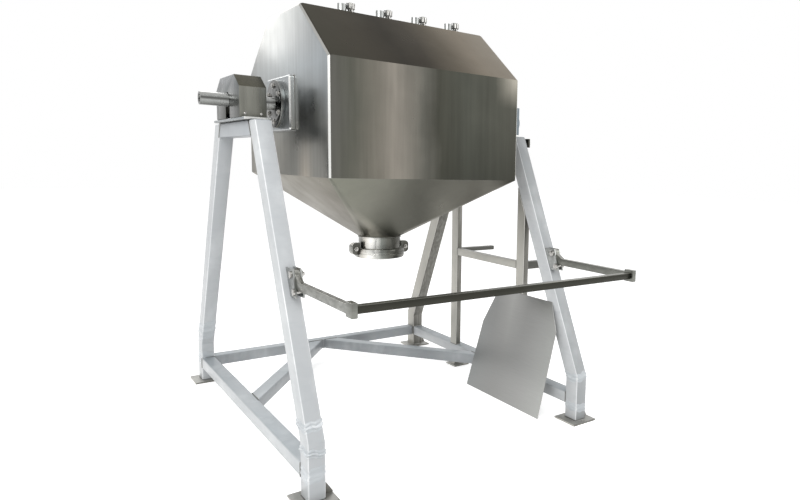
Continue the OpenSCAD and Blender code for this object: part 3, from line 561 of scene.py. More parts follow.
def knob_chrome():
    """Polished hand knob with painted reflections: the dark upright bands that a bright room leaves on it,
    and a lighter painted top.
    """
    n = Nodes("knob_chrome", metal(170, 170, 168), 0.14, 1.0)
    nx, nz = n.axes("Normal", "XZ")
    reflection_bands = n.ramp(n.range(nx, 0, 1, -1, 1), tones((0, (200, 200, 199)), (0.2, (120, 120, 116)),
                                                   (0.34, (60, 60, 57)), (0.48, (178, 176, 172)),
                                                   (0.62, (236, 235, 232)), (0.76, (110, 108, 104)),
                                                   (0.9, (62, 60, 57)), (1, (150, 148, 144))))
    # Painted light on the top
    cap = n.mix(n.range(nz, 0, 1, 0.5, 0.9), reflection_bands, metal(198, 198, 196))
    scuff = n.noise(70, 4)
    n.paint(n.mix(n.range(scuff, 0, 0.25, 0.4, 0.7), cap, metal(150, 148, 144)))
    n.rough(n.range(scuff, 0.1, 0.22, *SOFT))
    n.bump(scuff, 0.03, 0.0003)
    return n.material


# Level direction towards the neck's side with painted shade
SHADED_SIDE = (0.77, -0.64)


def outlet_steel():
    """Bright neck: a painted highlight streak on the left of the round, falling to painted shade on the
    right.
    """
    n = Nodes("outlet_steel", metal(150, 150, 145), 0.22, 1.0)
    nx, ny = n.axes("Normal", "XY")
    lit = n.math("ADD", n.math("MULTIPLY", nx, SHADED_SIDE[0]), n.math("MULTIPLY", ny, SHADED_SIDE[1]))
    # Painted highlight and shade round the neck
    shade = n.ramp(n.range(lit, 0, 1, -1, 1), tones((0, (120, 121, 115)), (0.14, (134, 134, 129)),
                                                    (0.26, (214, 210, 202)), (0.4, (252, 251, 246)),
                                                    (0.56, (214, 214, 209)), (0.66, (128, 131, 126)),
                                                    (0.8, (97, 97, 91)), (0.93, (84, 84, 79)),
                                                    (1, (120, 119, 114))))
    grain = n.noise(90, 4, (1, 1, 0.2))
    n.paint(n.streaked(shade, grain, 0.8, 0.15))
    n.rough(n.range(grain, 0.16, 0.3, *SOFT))
    n.bump(grain, 0.06, 0.0004)
    return n.material


def rail_steel(name, side_tone, lit_top_tone, shade_and_grain_tone):
    """Drawn bar with its side tone, painted light on its top and painted shade on its underside."""
    n = Nodes(name, metal(*side_tone), 0.3, 1.0)
    [nz] = n.axes("Normal", "Z")
    # Painted light on the top and painted shade underneath
    shade = n.mix(n.range(nz, 0, 1, 0.3, 0.8), metal(*side_tone), metal(*lit_top_tone))
    shade = n.mix(n.range(nz, 1, 0, -0.8, -0.3), shade, metal(*shade_and_grain_tone))
    grain = n.noise(50, 4, (0.08, 0.4, 1))
    # Grain streaks in the same darker tone as the painted shade underneath
    n.paint(n.mix(n.range(grain, 0, 0.35, 0.4, 0.7), shade, metal(*shade_and_grain_tone)))
    n.rough(n.range(grain, 0.24, 0.4, *SOFT))
    n.bump(grain, 0.08, 0.0004)
    return n.material


SLOTS = {part["node"]: part["material_slot"] for part in frame["record"]["subparts"]}
SLOT_LOOKS = {
    "frame_tube": "film", "vessel_sheet": "vessel", "cover_sheet": "cover", "turned_steel": "turned",
    "bright_fastener": "fastener", "knob_chrome": "knob", "rail_steel": "rail", "seal_rubber": "rubber",
    "bearing_iron": "iron", "drive_paint": "paint",
}
NODE_LOOKS = {
    "right_front_leg": "film_shaded_right", "right_side_beam": "film_shaded_right", "left_head_tube": "film_shaded_head",
    "right_head_tube": "film_shaded_head", "rear_beam": "film_shaded_low", "left_diagonal": "film_shaded_low",
    "right_diagonal": "film_shaded_low", "guard_panel": "panel", "hatch_lid": "lid", "hatch_seat": "lid",
    "right_rear_leg": "bare", "front_shelf_post": "bare", "rear_shelf_post": "bare", "shelf_tie": "bare",
    "front_shelf_bar": "bar", "rear_shelf_bar": "bar", "post_foot": "bare", "foot_plates": "bare",
    "foot_gussets": "bare", "outlet_neck": "outlet", "clamp_rear_half": "outlet",
    "clamp_front_half": "outlet", "outlet_cap": "outlet", "left_rail_arm": "arm", "right_rail_arm": "arm",
    "rail_brackets": "bracket", "left_trunnion_pad": "pad", "right_trunnion_pad": "pad",
    "left_bearing_plate": "pad", "right_bearing_plate": "pad",
}
LOOKS = {
    "film": film_wrap("film", tone(206, 209, 210), tone(186, 189, 191), FILM_CORNER_HIGHLIGHT),
    # Shaded copies of the film: painted shade on their front or end faces
    "film_shaded_right": film_wrap("film_shaded_right", tone(206, 208, 209), tone(152, 155, 156), FILM_CORNER_HIGHLIGHT),
    "film_shaded_head": film_wrap("film_shaded_head", tone(168, 173, 177), tone(150, 154, 157), FILM_CORNER_HIGHLIGHT),
    "film_shaded_low": film_wrap("film_shaded_low", tone(146, 150, 153), tone(130, 134, 137), tone(140, 144, 147)),
    "loose_film": loose_film(),
    "bare": bare_tube(),
    "bar": rail_steel("shelf_bar", (96, 96, 92), (140, 140, 136), (70, 70, 66)),
    "vessel": vessel_steel(),
    "cover": cover_steel(),
    "pad": pad_steel(),
    "lid": brushed("lid_steel", metal(172, 174, 172), 0.28, (0.1, 1, 1), 0.1),
    "panel": panel_steel(),
    "turned": turned("turned_steel", metal(168, 170, 168), metal(112, 112, 108)),
    "fastener": brushed("bright_fastener", metal(196, 194, 190), 0.2, (1, 1, 1), 0.12),
    "knob": knob_chrome(),
    "outlet": outlet_steel(),
    "rail": rail_steel("rail_bar_steel", (66, 66, 60), (150, 150, 142), (48, 48, 43)),
    "bracket": rail_steel("bracket_steel", (176, 178, 176), (214, 214, 210), (120, 120, 114)),
    "arm": rail_steel("rail_arm_steel", (136, 137, 131), (188, 188, 182), (92, 92, 86)),
    "rubber": brushed("seal_rubber", (0.03, 0.03, 0.03), 0.6, (1, 1, 1), 0.2, 0.0),
    "iron": brushed("bearing_iron", tone(82, 96, 104), 0.5, (1, 1, 1), 0.15, 0.2),
    "paint": brushed("drive_paint", tone(120, 132, 140), 0.42, (1, 1, 1), 0.06, 0.0),
    "weld": brushed("weld_bead", metal(150, 150, 146), 0.35, (1, 1, 1), 0.3),
}


# Edges: angles past which they stay sharp or are rounded, and the rounding's width for each look
SMOOTH_LIMIT = math.radians(20)
EDGE_LIMIT = math.radians(50)
EDGE_SEGMENTS = 3
FLAT_LIMIT = math.radians(0.5)
WELD_REACH = 0.00002
TUBE_EDGE = 0.009
BARE_EDGE = 0.004
BAR_EDGE = 0.003
SHEET_EDGE = 0.0012
TURNED_EDGE = 0.0015
PART_EDGE = 0.002
CAST_EDGE = 0.005
PAD_EDGE = 0.006
EDGES = {
    "film": TUBE_EDGE, "film_shaded_right": TUBE_EDGE, "film_shaded_head": TUBE_EDGE, "film_shaded_low": TUBE_EDGE,
    "bare": BARE_EDGE, "rail": BARE_EDGE, "arm": BARE_EDGE, "bar": BAR_EDGE, "bracket": BAR_EDGE,
    "paint": BAR_EDGE, "pad": PAD_EDGE, "iron": CAST_EDGE, "cover": SHEET_EDGE, "panel": SHEET_EDGE,
    "fastener": SHEET_EDGE, "outlet": TURNED_EDGE, "turned": TURNED_EDGE, "lid": PART_EDGE, "knob": PART_EDGE,
}
UNBEVELLED = ("foot_gussets", "outlet_gasket", "hatch_gasket", "vessel_body", "vessel_hopper")


def smooth_group():
    """Modifier group that smooths round faces and keeps folds sharp."""
    group = bpy.data.node_groups.new("smooth_rounds", "GeometryNodeTree")
    group.interface.new_socket("Geometry", in_out="INPUT", socket_type="NodeSocketGeometry")
    group.interface.new_socket("Geometry", in_out="OUTPUT", socket_type="NodeSocketGeometry")
    start = group.nodes.new("NodeGroupInput")
    end = group.nodes.new("NodeGroupOutput")
    faces = group.nodes.new("GeometryNodeSetShadeSmooth")
    edges = group.nodes.new("GeometryNodeSetShadeSmooth")
    edges.domain = "EDGE"
    edges.inputs["Shade Smooth"].default_value = False
    angle = group.nodes.new("GeometryNodeInputMeshEdgeAngle")
    sharp = group.nodes.new("FunctionNodeCompare")
    sharp.data_type = "FLOAT"
    sharp.operation = "GREATER_THAN"
    sharp.inputs["B"].default_value = SMOOTH_LIMIT
    group.links.new(start.outputs[0], faces.inputs["Geometry"])
    group.links.new(faces.outputs[0], edges.inputs["Geometry"])
    group.links.new(angle.outputs["Unsigned Angle"], sharp.inputs["A"])
    group.links.new(sharp.outputs[0], edges.inputs["Selection"])
    group.links.new(edges.outputs[0], end.inputs[0])
    return group


ROUNDS = smooth_group()


def add_edge(obj, width):
    """Clears a flat face's inner lines, then rounds the sharp edges."""
    flats = obj.modifiers.new("flats", "DECIMATE")
    flats.decimate_type = "DISSOLVE"
    flats.angle_limit = FLAT_LIMIT
    bevel = obj.modifiers.new("edge", "BEVEL")
    bevel.width = width
    bevel.segments = EDGE_SEGMENTS
    bevel.limit_method = "ANGLE"
    bevel.angle_limit = EDGE_LIMIT
    bevel.use_clamp_overlap = True


def dress_nodes():
    """Gives each CAD node its finish, its rounded edges and its smooth rounds."""
    for name, obj in nodes.items():
        joined = obj.modifiers.new("joined", "WELD")
        joined.merge_threshold = WELD_REACH
        look = NODE_LOOKS.get(name, SLOT_LOOKS[SLOTS[name]])
        for place in obj.material_slots:
            place.material = LOOKS[look]
        if look in EDGES and name not in UNBEVELLED:
            add_edge(obj, EDGES[look])
        obj.modifiers.new("rounds", "NODES").node_group = ROUNDS


def finish_piece(name, bm, look, body, edge=0.0):
    """Turns a mesh into a piece of the part with its finish, its edges and its body."""
    bmesh.ops.recalc_face_normals(bm, faces=bm.faces)
    mesh = bpy.data.meshes.new(name)
    bm.to_mesh(mesh)
    bm.free()
    mesh.materials.append(LOOKS[look])
    obj = bpy.data.objects.new(name, mesh)
    bpy.context.collection.objects.link(obj)
    if edge:
        add_edge(obj, edge)
    obj.modifiers.new("rounds", "NODES").node_group = ROUNDS
    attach(obj, body)
    return obj


def stitch(bm, rings):
    """Faces between each ring of points and the next."""
    for first, second in zip(rings, rings[1:]):
        for i in range(len(first)):
            after = (i + 1) % len(first)
            bm.faces.new((first[i], first[after], second[after], second[i]))


def extrude_y(bm, outline, low, high):
    first = [bm.verts.new((x, low, z)) for x, z in outline]
    second = [bm.verts.new((x, high, z)) for x, z in outline]
    bm.faces.new(first)
    bm.faces.new(second)
    stitch(bm, [first, second])


def facing(direction):
    """Turn that points a form's own Z along a direction."""
    return Vector(direction).to_track_quat("Z", "Y").to_matrix()


def revolve(bm, profile, segments, place, turn=None, flutes=0, flute_depth=0.0, fluted=()):
    """Closed turned form from its axis out and back, with flutes on the rows that are named."""
    turn = turn or Matrix.Identity(3)
    rows = []
    for row, (radius, height) in enumerate(profile):
        if radius == 0:
            rows.append([bm.verts.new(place + turn @ Vector((0, 0, height)))])
            continue
        ring = []
        for i in range(segments):
            angle = math.tau * i / segments
            dip = flute_depth * max(0, math.cos(flutes * angle)) if row in fluted else 0
            reach = radius - dip
            ring.append(bm.verts.new(place + turn @ Vector((reach * math.cos(angle),
                                                            reach * math.sin(angle), height))))
        rows.append(ring)
    for low, high in zip(rows, rows[1:]):
        for i in range(segments):
            after = (i + 1) % segments
            if len(low) == 1:
                bm.faces.new((low[0], high[i], high[after]))
            elif len(high) == 1:
                bm.faces.new((low[i], low[after], high[0]))
            else:
                bm.faces.new((low[i], low[after], high[after], high[i]))


# Weld beads: length of a ripple, its depth as a share, and sides of the bead
BEAD_STEP = 0.004
BEAD_RIPPLE = 0.22
BEAD_SIDES = 6
FRAME_WELD = 0.0028
PAD_WELD = 0.0035
NECK_WELD = 0.002
NECK_RADIUS = 0.1272
NECK_RUNS = 40


def bead(bm, start, end, radius):
    """Rippled weld bead along one straight run, half as thick at its ends."""
    start, end = Vector(start), Vector(end)
    run = end - start
    steps = max(4, round(run.length / BEAD_STEP))
    profile = [(0, 0)]
    for i in range(steps + 1):
        ripple = 1 - BEAD_RIPPLE * (i % 2)
        ends = min(1, 0.5 + min(i, steps - i) / 2)
        profile.append((radius * ripple * ends, run.length * i / steps))
    profile.append((0, run.length))
    revolve(bm, profile, BEAD_SIDES, start, facing(run))


def bead_loop(bm, corners, radius):
    for start, end in zip(corners, corners[1:] + corners[:1]):
        bead(bm, start, end, radius)


# Leg: the height of its bend, its depth across the bend, and its front face's place at the top
LEG_LOW, LEG_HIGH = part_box("left_front_leg")
BEND_HEIGHT = 0.28
LEG_DEPTH = 0.1
HEAD_Y = 0.386
LEG_FRONT = -LEG_LOW[1]
LEAN = math.atan((LEG_FRONT - HEAD_Y) / (LEG_HIGH[2] - BEND_HEIGHT))
PLATE_TOP = LEG_LOW[2]
BEAM_LOW, BEAM_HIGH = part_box("left_side_beam")
# Diagonal: its mouth's depth at the side beam, its tip's place at the rear beam and its foot's width
DIAGONAL_MOUTH = 0.134
DIAGONAL_TIP = 0.0061
DIAGONAL_FOOT = 0.1


def leg_outer(height):
    """Distance of a leg's outer face from the middle, at a height."""
    return LEG_FRONT - max(0, height - BEND_HEIGHT) * math.tan(LEAN)


def leg_depth_at(height):
    return LEG_DEPTH / math.cos(LEAN) if height > BEND_HEIGHT else LEG_DEPTH


def end_frame_welds(bm, side):
    """Beads of one end frame: legs to head tube, floor beam and foot plates."""
    head_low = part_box("left_head_tube")[0][2]
    faces = (side * -LEG_LOW[0], side * -LEG_HIGH[0])
    for x in faces:
        for end in (-1, 1):
            joint = [(x, end * (leg_outer(z) - leg_depth_at(z)), z) for z in (head_low, LEG_HIGH[2])]
            bead(bm, joint[0], joint[1], FRAME_WELD)
            foot = end * BEAM_HIGH[1]
            bead(bm, (x, foot, BEAM_LOW[2]), (x, foot, BEAM_HIGH[2]), FRAME_WELD)
    for end in (-1, 1):
        foot = end * BEAM_HIGH[1]
        bead(bm, (faces[0], foot, BEAM_HIGH[2]), (faces[1], foot, BEAM_HIGH[2]), FRAME_WELD)
        outer = end * LEG_FRONT
        inner = end * (LEG_FRONT - LEG_DEPTH)
        bead_loop(bm, [(faces[0], outer, PLATE_TOP), (faces[1], outer, PLATE_TOP),
                       (faces[1], inner, PLATE_TOP), (faces[0], inner, PLATE_TOP)], FRAME_WELD)


def base_welds(bm, side):
    """Beads of the rear beam and one base diagonal, on one side."""
    low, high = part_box("rear_beam")
    x = side * high[0]
    bead(bm, (x, low[1], low[2]), (x, low[1], high[2]), FRAME_WELD)
    bead(bm, (x, low[1], high[2]), (x, high[1], high[2]), FRAME_WELD)
    low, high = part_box("right_diagonal" if side > 0 else "left_diagonal")
    tip = side * DIAGONAL_TIP
    foot = side * (DIAGONAL_TIP + DIAGONAL_FOOT)
    bead(bm, (x, low[1], high[2]), (x, low[1] + DIAGONAL_MOUTH, high[2]), FRAME_WELD)
    bead(bm, (x, low[1], low[2]), (x, low[1], high[2]), FRAME_WELD)
    bead(bm, (tip, high[1], high[2]), (foot, high[1], high[2]), FRAME_WELD)


def shelf_welds(bm):
    """Beads under both shelf posts and round the ends of their tie."""
    for name in ("front_shelf_post", "rear_shelf_post"):
        low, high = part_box(name)
        bead_loop(bm, [(low[0], low[1], low[2]), (high[0], low[1], low[2]), (high[0], high[1], low[2]),
                       (low[0], high[1], low[2])], FRAME_WELD)
    low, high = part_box("shelf_tie")
    for y in (low[1], high[1]):
        bead(bm, (low[0], y, low[2]), (low[0], y, high[2]), FRAME_WELD)
        bead(bm, (low[0], y, high[2]), (high[0], y, high[2]), FRAME_WELD)


def frame_welds():
    bm = bmesh.new()
    for side in (-1, 1):
        end_frame_welds(bm, side)
        base_welds(bm, side)
    shelf_welds(bm)
    finish_piece("frame_welds", bm, "weld", "frame")


def vessel_welds():
    """Beads round the trunnion pads and round the top of the outlet's neck."""
    bm = bmesh.new()
    for name in ("left_trunnion_pad", "right_trunnion_pad"):
        low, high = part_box(name)
        x = min(low[0], high[0], key=abs)
        corners = [(x, low[1], low[2]), (x, high[1], low[2]), (x, high[1], high[2]), (x, low[1], high[2])]
        bead_loop(bm, corners, PAD_WELD)
    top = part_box("outlet_neck")[1][2]
    angles = [math.tau * i / NECK_RUNS for i in range(NECK_RUNS)]
    bead_loop(bm, [(NECK_RADIUS * math.cos(angle), NECK_RADIUS * math.sin(angle), top) for angle in angles],
              NECK_WELD)
    finish_piece("vessel_welds", bm, "weld", "vessel")


# Film bands: name, side, end, lowest and highest place, tilt, rows of points, and how far they stand out
FILM_BANDS = (
    ("film_band_front_upper", -1, -1, 0.325, 0.368, 0.006, 12, 0.008),
    ("film_band_front_lower", -1, -1, 0.212, 0.250, -0.007, 12, 0.008),
    ("film_band_front_foot", -1, -1, 0.100, 0.170, 0.010, 16, 0.003),
    ("film_band_rear_upper", -1, 1, 0.300, 0.430, 0.02, 22, 0.004),
    ("film_band_rear_lower", -1, 1, 0.110, 0.200, -0.01, 16, 0.004),
    ("film_band_right_bend", 1, -1, 0.250, 0.300, 0.008, 12, 0.004),
    ("film_band_right_foot", 1, -1, 0.060, 0.110, -0.006, 12, 0.003),
)
FILM_SIDES = 88
FILM_SQUARENESS = 8
FILM_SKIN = 0.0004
FILM_UNDERLAP = 0.0012
# Wave along a band's edges, gathers across it, and how far these wander
FILM_WAVES = 5
FILM_WAVE_HEIGHT = 0.004
FILM_GATHERS = 2.5
GATHER_SHARE = 0.38
GATHER_TWIST = 1.4
SWIRL_SCALE = 1.5
SWIRL_TURN = 2.5
SIDE_SEED = 7
END_SEED = 3


def film_ring(bm, side, end, low, high, tilt, share, proud, on_top):
    """Ring of points round a leg, on the band's gathered outside or its flat inside."""
    centre_x = side * (-LEG_LOW[0] - LEG_HIGH[0]) / 2
    half_x = (LEG_HIGH[0] - LEG_LOW[0]) / 2
    hump = math.sin(math.pi * share)
    seed = SIDE_SEED * side + END_SEED * end + low
    ring = []
    for i in range(FILM_SIDES):
        angle = math.tau * i / FILM_SIDES
        wide, deep = math.cos(angle), math.sin(angle)
        corner = (abs(wide) ** FILM_SQUARENESS + abs(deep) ** FILM_SQUARENESS) ** (1 / FILM_SQUARENESS)
        wave = FILM_WAVE_HEIGHT * math.sin(FILM_WAVES * angle + side)
        height = low + (high - low) * share + tilt * wide + wave
        swirl = noise.noise(Vector((SWIRL_SCALE * wide, SWIRL_SCALE * deep, seed)))
        ridges = math.cos(math.tau * FILM_GATHERS * share + SWIRL_TURN * swirl + GATHER_TWIST * wide)
        gathered = FILM_SKIN + proud * hump * (1 - GATHER_SHARE + GATHER_SHARE * ridges)
        grow = gathered if on_top else -FILM_UNDERLAP
        depth = leg_depth_at(height)
        x = centre_x + (half_x + grow) * wide / corner
        y = end * (leg_outer(height) - depth / 2) + (depth / 2 + grow) * deep / corner
        ring.append(bm.verts.new((x, y, height)))
    return ring


def film_band(name, side, end, low, high, tilt, rows, proud):
    """Gathered band of film round a leg, up its outside and back down its inside."""
    bm = bmesh.new()
    shares = [row / rows for row in range(rows + 1)]
    rings = [film_ring(bm, side, end, low, high, tilt, share, proud, True) for share in shares]
    rings += [film_ring(bm, side, end, low, high, tilt, share, proud, False) for share in reversed(shares)]
    stitch(bm, rings + rings[:1])
    finish_piece(name, bm, "loose_film", "frame")


# Hand knob's profile: radius and height of its stem over the bolt's foot and of its collar over the lug,
# then inset from the rim and height over the lug, inset and drop from the top, radius and drop from the top
KNOB_STEM = ((0, 0), (0.0072, 0), (0.008, 0.001))
KNOB_COLLAR = ((0.008, 0), (0.020, 0), (0.0215, 0.001), (0.0215, 0.006), (0.0165, 0.010), (0.0165, 0.014))
KNOB_GRIP = ((0.002, 0.018), (0, 0.020))
KNOB_CROWN = ((0, 0.006), (0.0012, 0.0025), (0.005, 0.0006))
KNOB_DISH = ((0.007, 0.0003), (0.006, 0.0012), (0, 0.0012))
# Drop from the lid's highest point to the top of the lugs
KNOB_LUG_RISE = 0.0387
KNOB_SEGMENTS = 96
KNOB_FLUTES = 16
FLUTE_DEPTH = 0.0018
KNOBS = 4


def hand_knob(index):
    """Turned hand knob with flutes round its grip, in the place of its plain solid."""
    name = f"clamp_knob_{index}"
    low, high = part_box(name)
    centre = Vector(((low[0] + high[0]) / 2, (low[1] + high[1]) / 2, 0))
    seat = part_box("hatch_lid")[1][2] - KNOB_LUG_RISE
    rim = (high[0] - low[0]) / 2
    profile = [(radius, low[2] + rise) for radius, rise in KNOB_STEM]
    profile += [(radius, seat + rise) for radius, rise in KNOB_COLLAR]
    profile += [(rim - inset, seat + rise) for inset, rise in KNOB_GRIP]
    grip = len(profile) - 1
    profile += [(rim - inset, high[2] - drop) for inset, drop in KNOB_CROWN]
    profile += [(radius, high[2] - drop) for radius, drop in KNOB_DISH]
    bm = bmesh.new()
    revolve(bm, profile, KNOB_SEGMENTS, centre, flutes=KNOB_FLUTES, flute_depth=FLUTE_DEPTH,
            fluted=(grip, grip + 1))
    knob = finish_piece(f"hand_knob_{index}", bm, "knob", f"knob_{index}")
    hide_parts(name)


# Screw head's profile, as shares of its radius and its height
SCREW_SHARES = ((0, -1 / 3), (1, -1 / 3), (1, 0.35), (0.92, 0.7), (0.7, 0.95), (0.45, 1), (0.42, 0.5),
                (0, 0.5))
SCREW_SIDES = 32
COVER_SCREW = (0.0065, 0.0035)
COVER_SCREW_SHARES = (0.2, 0.8)
COVER_SCREW_RISE = 0.018
# Washers under the flange's screws: hole, outside, thickness and edge
WASHER_HOLE = 0.0116
WASHER_RADIUS = 0.0165
WASHER_HEIGHT = 0.0022
WASHER_EDGE = 0.0005
WASHER_SIDES = 32
FLANGE_SCREWS = 6
SCREW_HEAD = 0.01
BOLT_CIRCLE = 0.0975


def screw_head(bm, place, turn, radius, height):
    """Low domed head with a round socket in its middle."""
    profile = [(radius * wide, height * tall) for wide, tall in SCREW_SHARES]
    revolve(bm, profile, SCREW_SIDES, place, turn)


def ring_washer(bm, place, turn, inner, outer, height):
    angles = [math.tau * i / WASHER_SIDES for i in range(WASHER_SIDES)]
    rings = []
    for radius, rise in ((inner, 0), (outer, 0), (outer, height), (inner, height)):
        points = [Vector((radius * math.cos(angle), radius * math.sin(angle), rise)) for angle in angles]
        rings.append([bm.verts.new(place + turn @ point) for point in points])
    stitch(bm, rings + rings[:1])


def cover_screws():
    bm = bmesh.new()
    for name in ("left_bearing_cover", "right_bearing_cover"):
        low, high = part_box(name)
        for y, out in ((low[1], -1), (high[1], 1)):
            for share in COVER_SCREW_SHARES:
                x = low[0] + share * (high[0] - low[0])
                screw_head(bm, Vector((x, y, low[2] + COVER_SCREW_RISE)), facing((0, out, 0)), *COVER_SCREW)
    finish_piece("cover_screws", bm, "fastener", "frame")


def flange_washers():
    bm = bmesh.new()
    low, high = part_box("flange_screws")
    line = (low[2] + high[2]) / 2
    for side in (-1, 1):
        x = side * (high[0] - SCREW_HEAD)
        for i in range(FLANGE_SCREWS):
            angle = math.tau * (i + 0.5) / FLANGE_SCREWS
            place = Vector((x, BOLT_CIRCLE * math.cos(angle), line + BOLT_CIRCLE * math.sin(angle)))
            ring_washer(bm, place, facing((side, 0, 0)), WASHER_HOLE, WASHER_RADIUS, WASHER_HEIGHT)
    finish_piece("flange_washers", bm, "fastener", "vessel", WASHER_EDGE)


# Outlet clamp: its ring, the groove over the rims, the gap between the halves, and its edges
CLAMP_RADIUS = 0.150
CLAMP_HEIGHT = 0.060
CLAMP_GAP = 0.0006
RING_STEPS = 40
RIM_RADIUS = 0.1383
RIM_STACK = 0.0093
NECK_CLEAR = 0.1276
BORE_EDGE_WIDTH = 0.004
BORE_EDGE_HEIGHT = 0.002
CROWN_WIDTH = 0.008
CROWN_STEP = 0.002
CROWN_STEP_DROP = 0.004
CROWN_DROP = 0.012
WAIST_DEPTH = 0.002
WAIST_HALF_HEIGHT = 0.004
CLAMP_EDGE = 0.0025
# Ears of the clamp's halves
LUG_HALF_DEPTH = 0.022
LUG_HEIGHT = 0.074
LUG_CORNER = 0.024
LUG_CORNER_STEPS = 8


def lug_outline(inner, outer, low, high, radius):
    """Ear of a clamp half: square at the ring, round at its outer corners."""
    points = [(inner, low)]
    for middle, start in (((outer - radius, low + radius), -90), ((outer - radius, high - radius), 0)):
        for i in range(LUG_CORNER_STEPS + 1):
            angle = math.radians(start + 90 * i / LUG_CORNER_STEPS)
            points.append((middle[0] + radius * math.cos(angle), middle[1] + radius * math.sin(angle)))
    points.append((inner, high))
    return points


def clamp_crown(middle, way):
    """Turns of the ring's profile below or above its middle, from the bore out to the waist."""
    face = middle + way * CLAMP_HEIGHT / 2
    return [(NECK_CLEAR, face - way * BORE_EDGE_HEIGHT), (NECK_CLEAR + BORE_EDGE_WIDTH, face),
            (CLAMP_RADIUS - CROWN_WIDTH, face), (CLAMP_RADIUS - CROWN_STEP, face - way * CROWN_STEP_DROP),
            (CLAMP_RADIUS, face - way * CROWN_DROP), (CLAMP_RADIUS, middle + way * WAIST_HALF_HEIGHT)]


def clamp_half(name, piece, body, end):
    """Half ring with a rounded crown, a groove over the rims and two rounded ears."""
    low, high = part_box(name)
    middle = low[2] + CLAMP_HEIGHT / 2
    waist = [(CLAMP_RADIUS - WAIST_DEPTH, middle)]
    groove = [(NECK_CLEAR, middle + RIM_STACK), (RIM_RADIUS, middle + RIM_STACK),
              (RIM_RADIUS, middle - RIM_STACK), (NECK_CLEAR, middle - RIM_STACK)]
    profile = clamp_crown(middle, -1) + waist + clamp_crown(middle, 1)[::-1] + groove
    bm = bmesh.new()
    rings = []
    for i in range(RING_STEPS + 1):
        angle = math.pi * i / RING_STEPS
        points = [(radius * math.cos(angle), end * max(CLAMP_GAP, radius * math.sin(angle)), z)
                  for radius, z in profile]
        rings.append([bm.verts.new(point) for point in points])
    stitch(bm, rings)
    bm.faces.new(rings[0])
    bm.faces.new(rings[-1])
    outline = lug_outline(RIM_RADIUS, high[0], high[2] - LUG_HEIGHT, high[2], LUG_CORNER)
    near, far = sorted((end * CLAMP_GAP, end * LUG_HALF_DEPTH))
    extrude_y(bm, outline, near, far)
    extrude_y(bm, [(-x, z) for x, z in outline], near, far)
    half = finish_piece(piece, bm, "outlet", body, CLAMP_EDGE)
    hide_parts(name)


# Terminal box: its place along the motor, then half width, half depth, foot and top of its body and lid
MOTOR_LOW, MOTOR_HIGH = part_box("motor")
MOTOR_X = (MOTOR_LOW[0] + MOTOR_HIGH[0]) / 2
TERMINAL_Y = MOTOR_LOW[1] + 0.45 * (MOTOR_HIGH[1] - MOTOR_LOW[1])
TERMINAL_LAYERS = ((0.044, 0.052, -0.02, 0.030), (0.047, 0.055, 0.030, 0.044))
TERMINAL_EDGE = 0.004
TERMINAL_SCREW = (0.004, 0.002)
TERMINAL_SCREW_X = 0.038
TERMINAL_SCREW_Y = 0.046
# Gland and oil plugs: radius and height of each turn
GLAND = ((0, -0.004), (0.013, -0.004), (0.013, 0.008), (0.0105, 0.009), (0.0105, 0.020), (0.007, 0.022),
         (0, 0.022))
GLAND_SIDES = 24
GLAND_RISE = 0.012
PLUG = ((0, -0.004), (0.011, -0.004), (0.011, 0.001), (0.009, 0.003), (0.009, 0.008), (0, 0.008))
PLUG_SIDES = 6
PLUG_INSET = 0.03
PLUG_SINK = 0.008
COWL_RINGS = (0.024, 0.036, 0.048, 0.060)
COWL_RING_WIDTH = 0.004
COWL_RING_HEIGHT = 0.0038
COWL_RING_SINK = 0.004
COWL_RING_EDGE = 0.0008


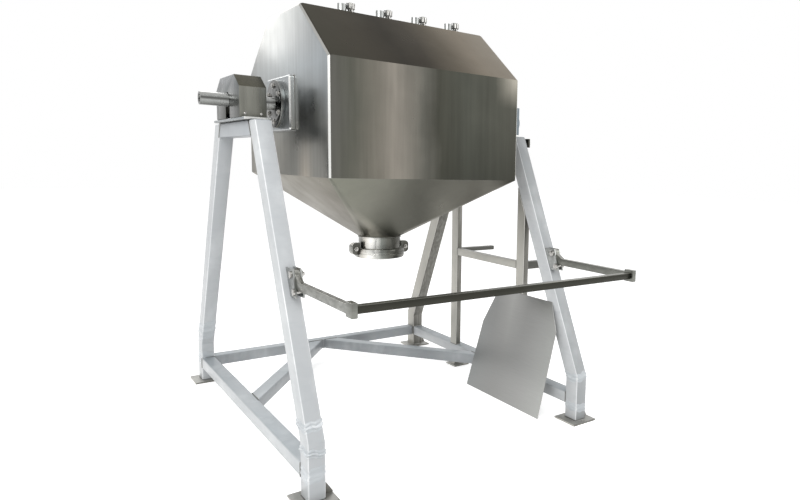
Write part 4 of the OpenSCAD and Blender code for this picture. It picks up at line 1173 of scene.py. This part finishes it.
def terminal_box():
    bm = bmesh.new()
    for half_x, half_y, foot, top in TERMINAL_LAYERS:
        foot += MOTOR_HIGH[2]
        top += MOTOR_HIGH[2]
        outline = [(MOTOR_X - half_x, foot), (MOTOR_X + half_x, foot), (MOTOR_X + half_x, top),
                   (MOTOR_X - half_x, top)]
        extrude_y(bm, outline, TERMINAL_Y - half_y, TERMINAL_Y + half_y)
    finish_piece("terminal_box", bm, "paint", "frame", TERMINAL_EDGE)


def drive_screws():
    """Screws of the terminal box's lid, its cable gland, and the gearbox's plugs."""
    bm = bmesh.new()
    lid_top = MOTOR_HIGH[2] + TERMINAL_LAYERS[1][3]
    for corner_x in (-TERMINAL_SCREW_X, TERMINAL_SCREW_X):
        for corner_y in (-TERMINAL_SCREW_Y, TERMINAL_SCREW_Y):
            place = Vector((MOTOR_X + corner_x, TERMINAL_Y + corner_y, lid_top))
            screw_head(bm, place, facing((0, 0, 1)), *TERMINAL_SCREW)
    gland_place = Vector((MOTOR_X, TERMINAL_Y - TERMINAL_LAYERS[0][1], MOTOR_HIGH[2] + GLAND_RISE))
    revolve(bm, GLAND, GLAND_SIDES, gland_place, facing((0, -1, 0)))
    low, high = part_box("gearbox")
    for z in (low[2] + PLUG_INSET, high[2] - PLUG_INSET):
        place = Vector((high[0] - PLUG_SINK, high[1] - PLUG_INSET, z))
        revolve(bm, PLUG, PLUG_SIDES, place, facing((1, 0, 0)))
    finish_piece("drive_screws", bm, "fastener", "frame")


def cowl_rings():
    bm = bmesh.new()
    centre = Vector((MOTOR_X, MOTOR_HIGH[1] - COWL_RING_SINK, (MOTOR_LOW[2] + MOTOR_HIGH[2]) / 2))
    for radius in COWL_RINGS:
        ring_washer(bm, centre, facing((0, 1, 0)), radius, radius + COWL_RING_WIDTH, COWL_RING_HEIGHT)
    finish_piece("cowl_rings", bm, "iron", "frame", COWL_RING_EDGE)


add_camera()
add_world()
for lamp in LAMPS:
    add_lamp(*lamp)
add_floor()
bpy.context.scene.view_settings.view_transform = "Standard"
dress_nodes()
frame_welds()
vessel_welds()
for band in FILM_BANDS:
    film_band(*band)
for index in range(1, KNOBS + 1):
    hand_knob(index)
cover_screws()
flange_washers()
clamp_half("clamp_rear_half", "clamp_rear_ring", "clamp_rear", 1)
clamp_half("clamp_front_half", "clamp_front_ring", "clamp_front", -1)
terminal_box()
drive_screws()
cowl_rings()
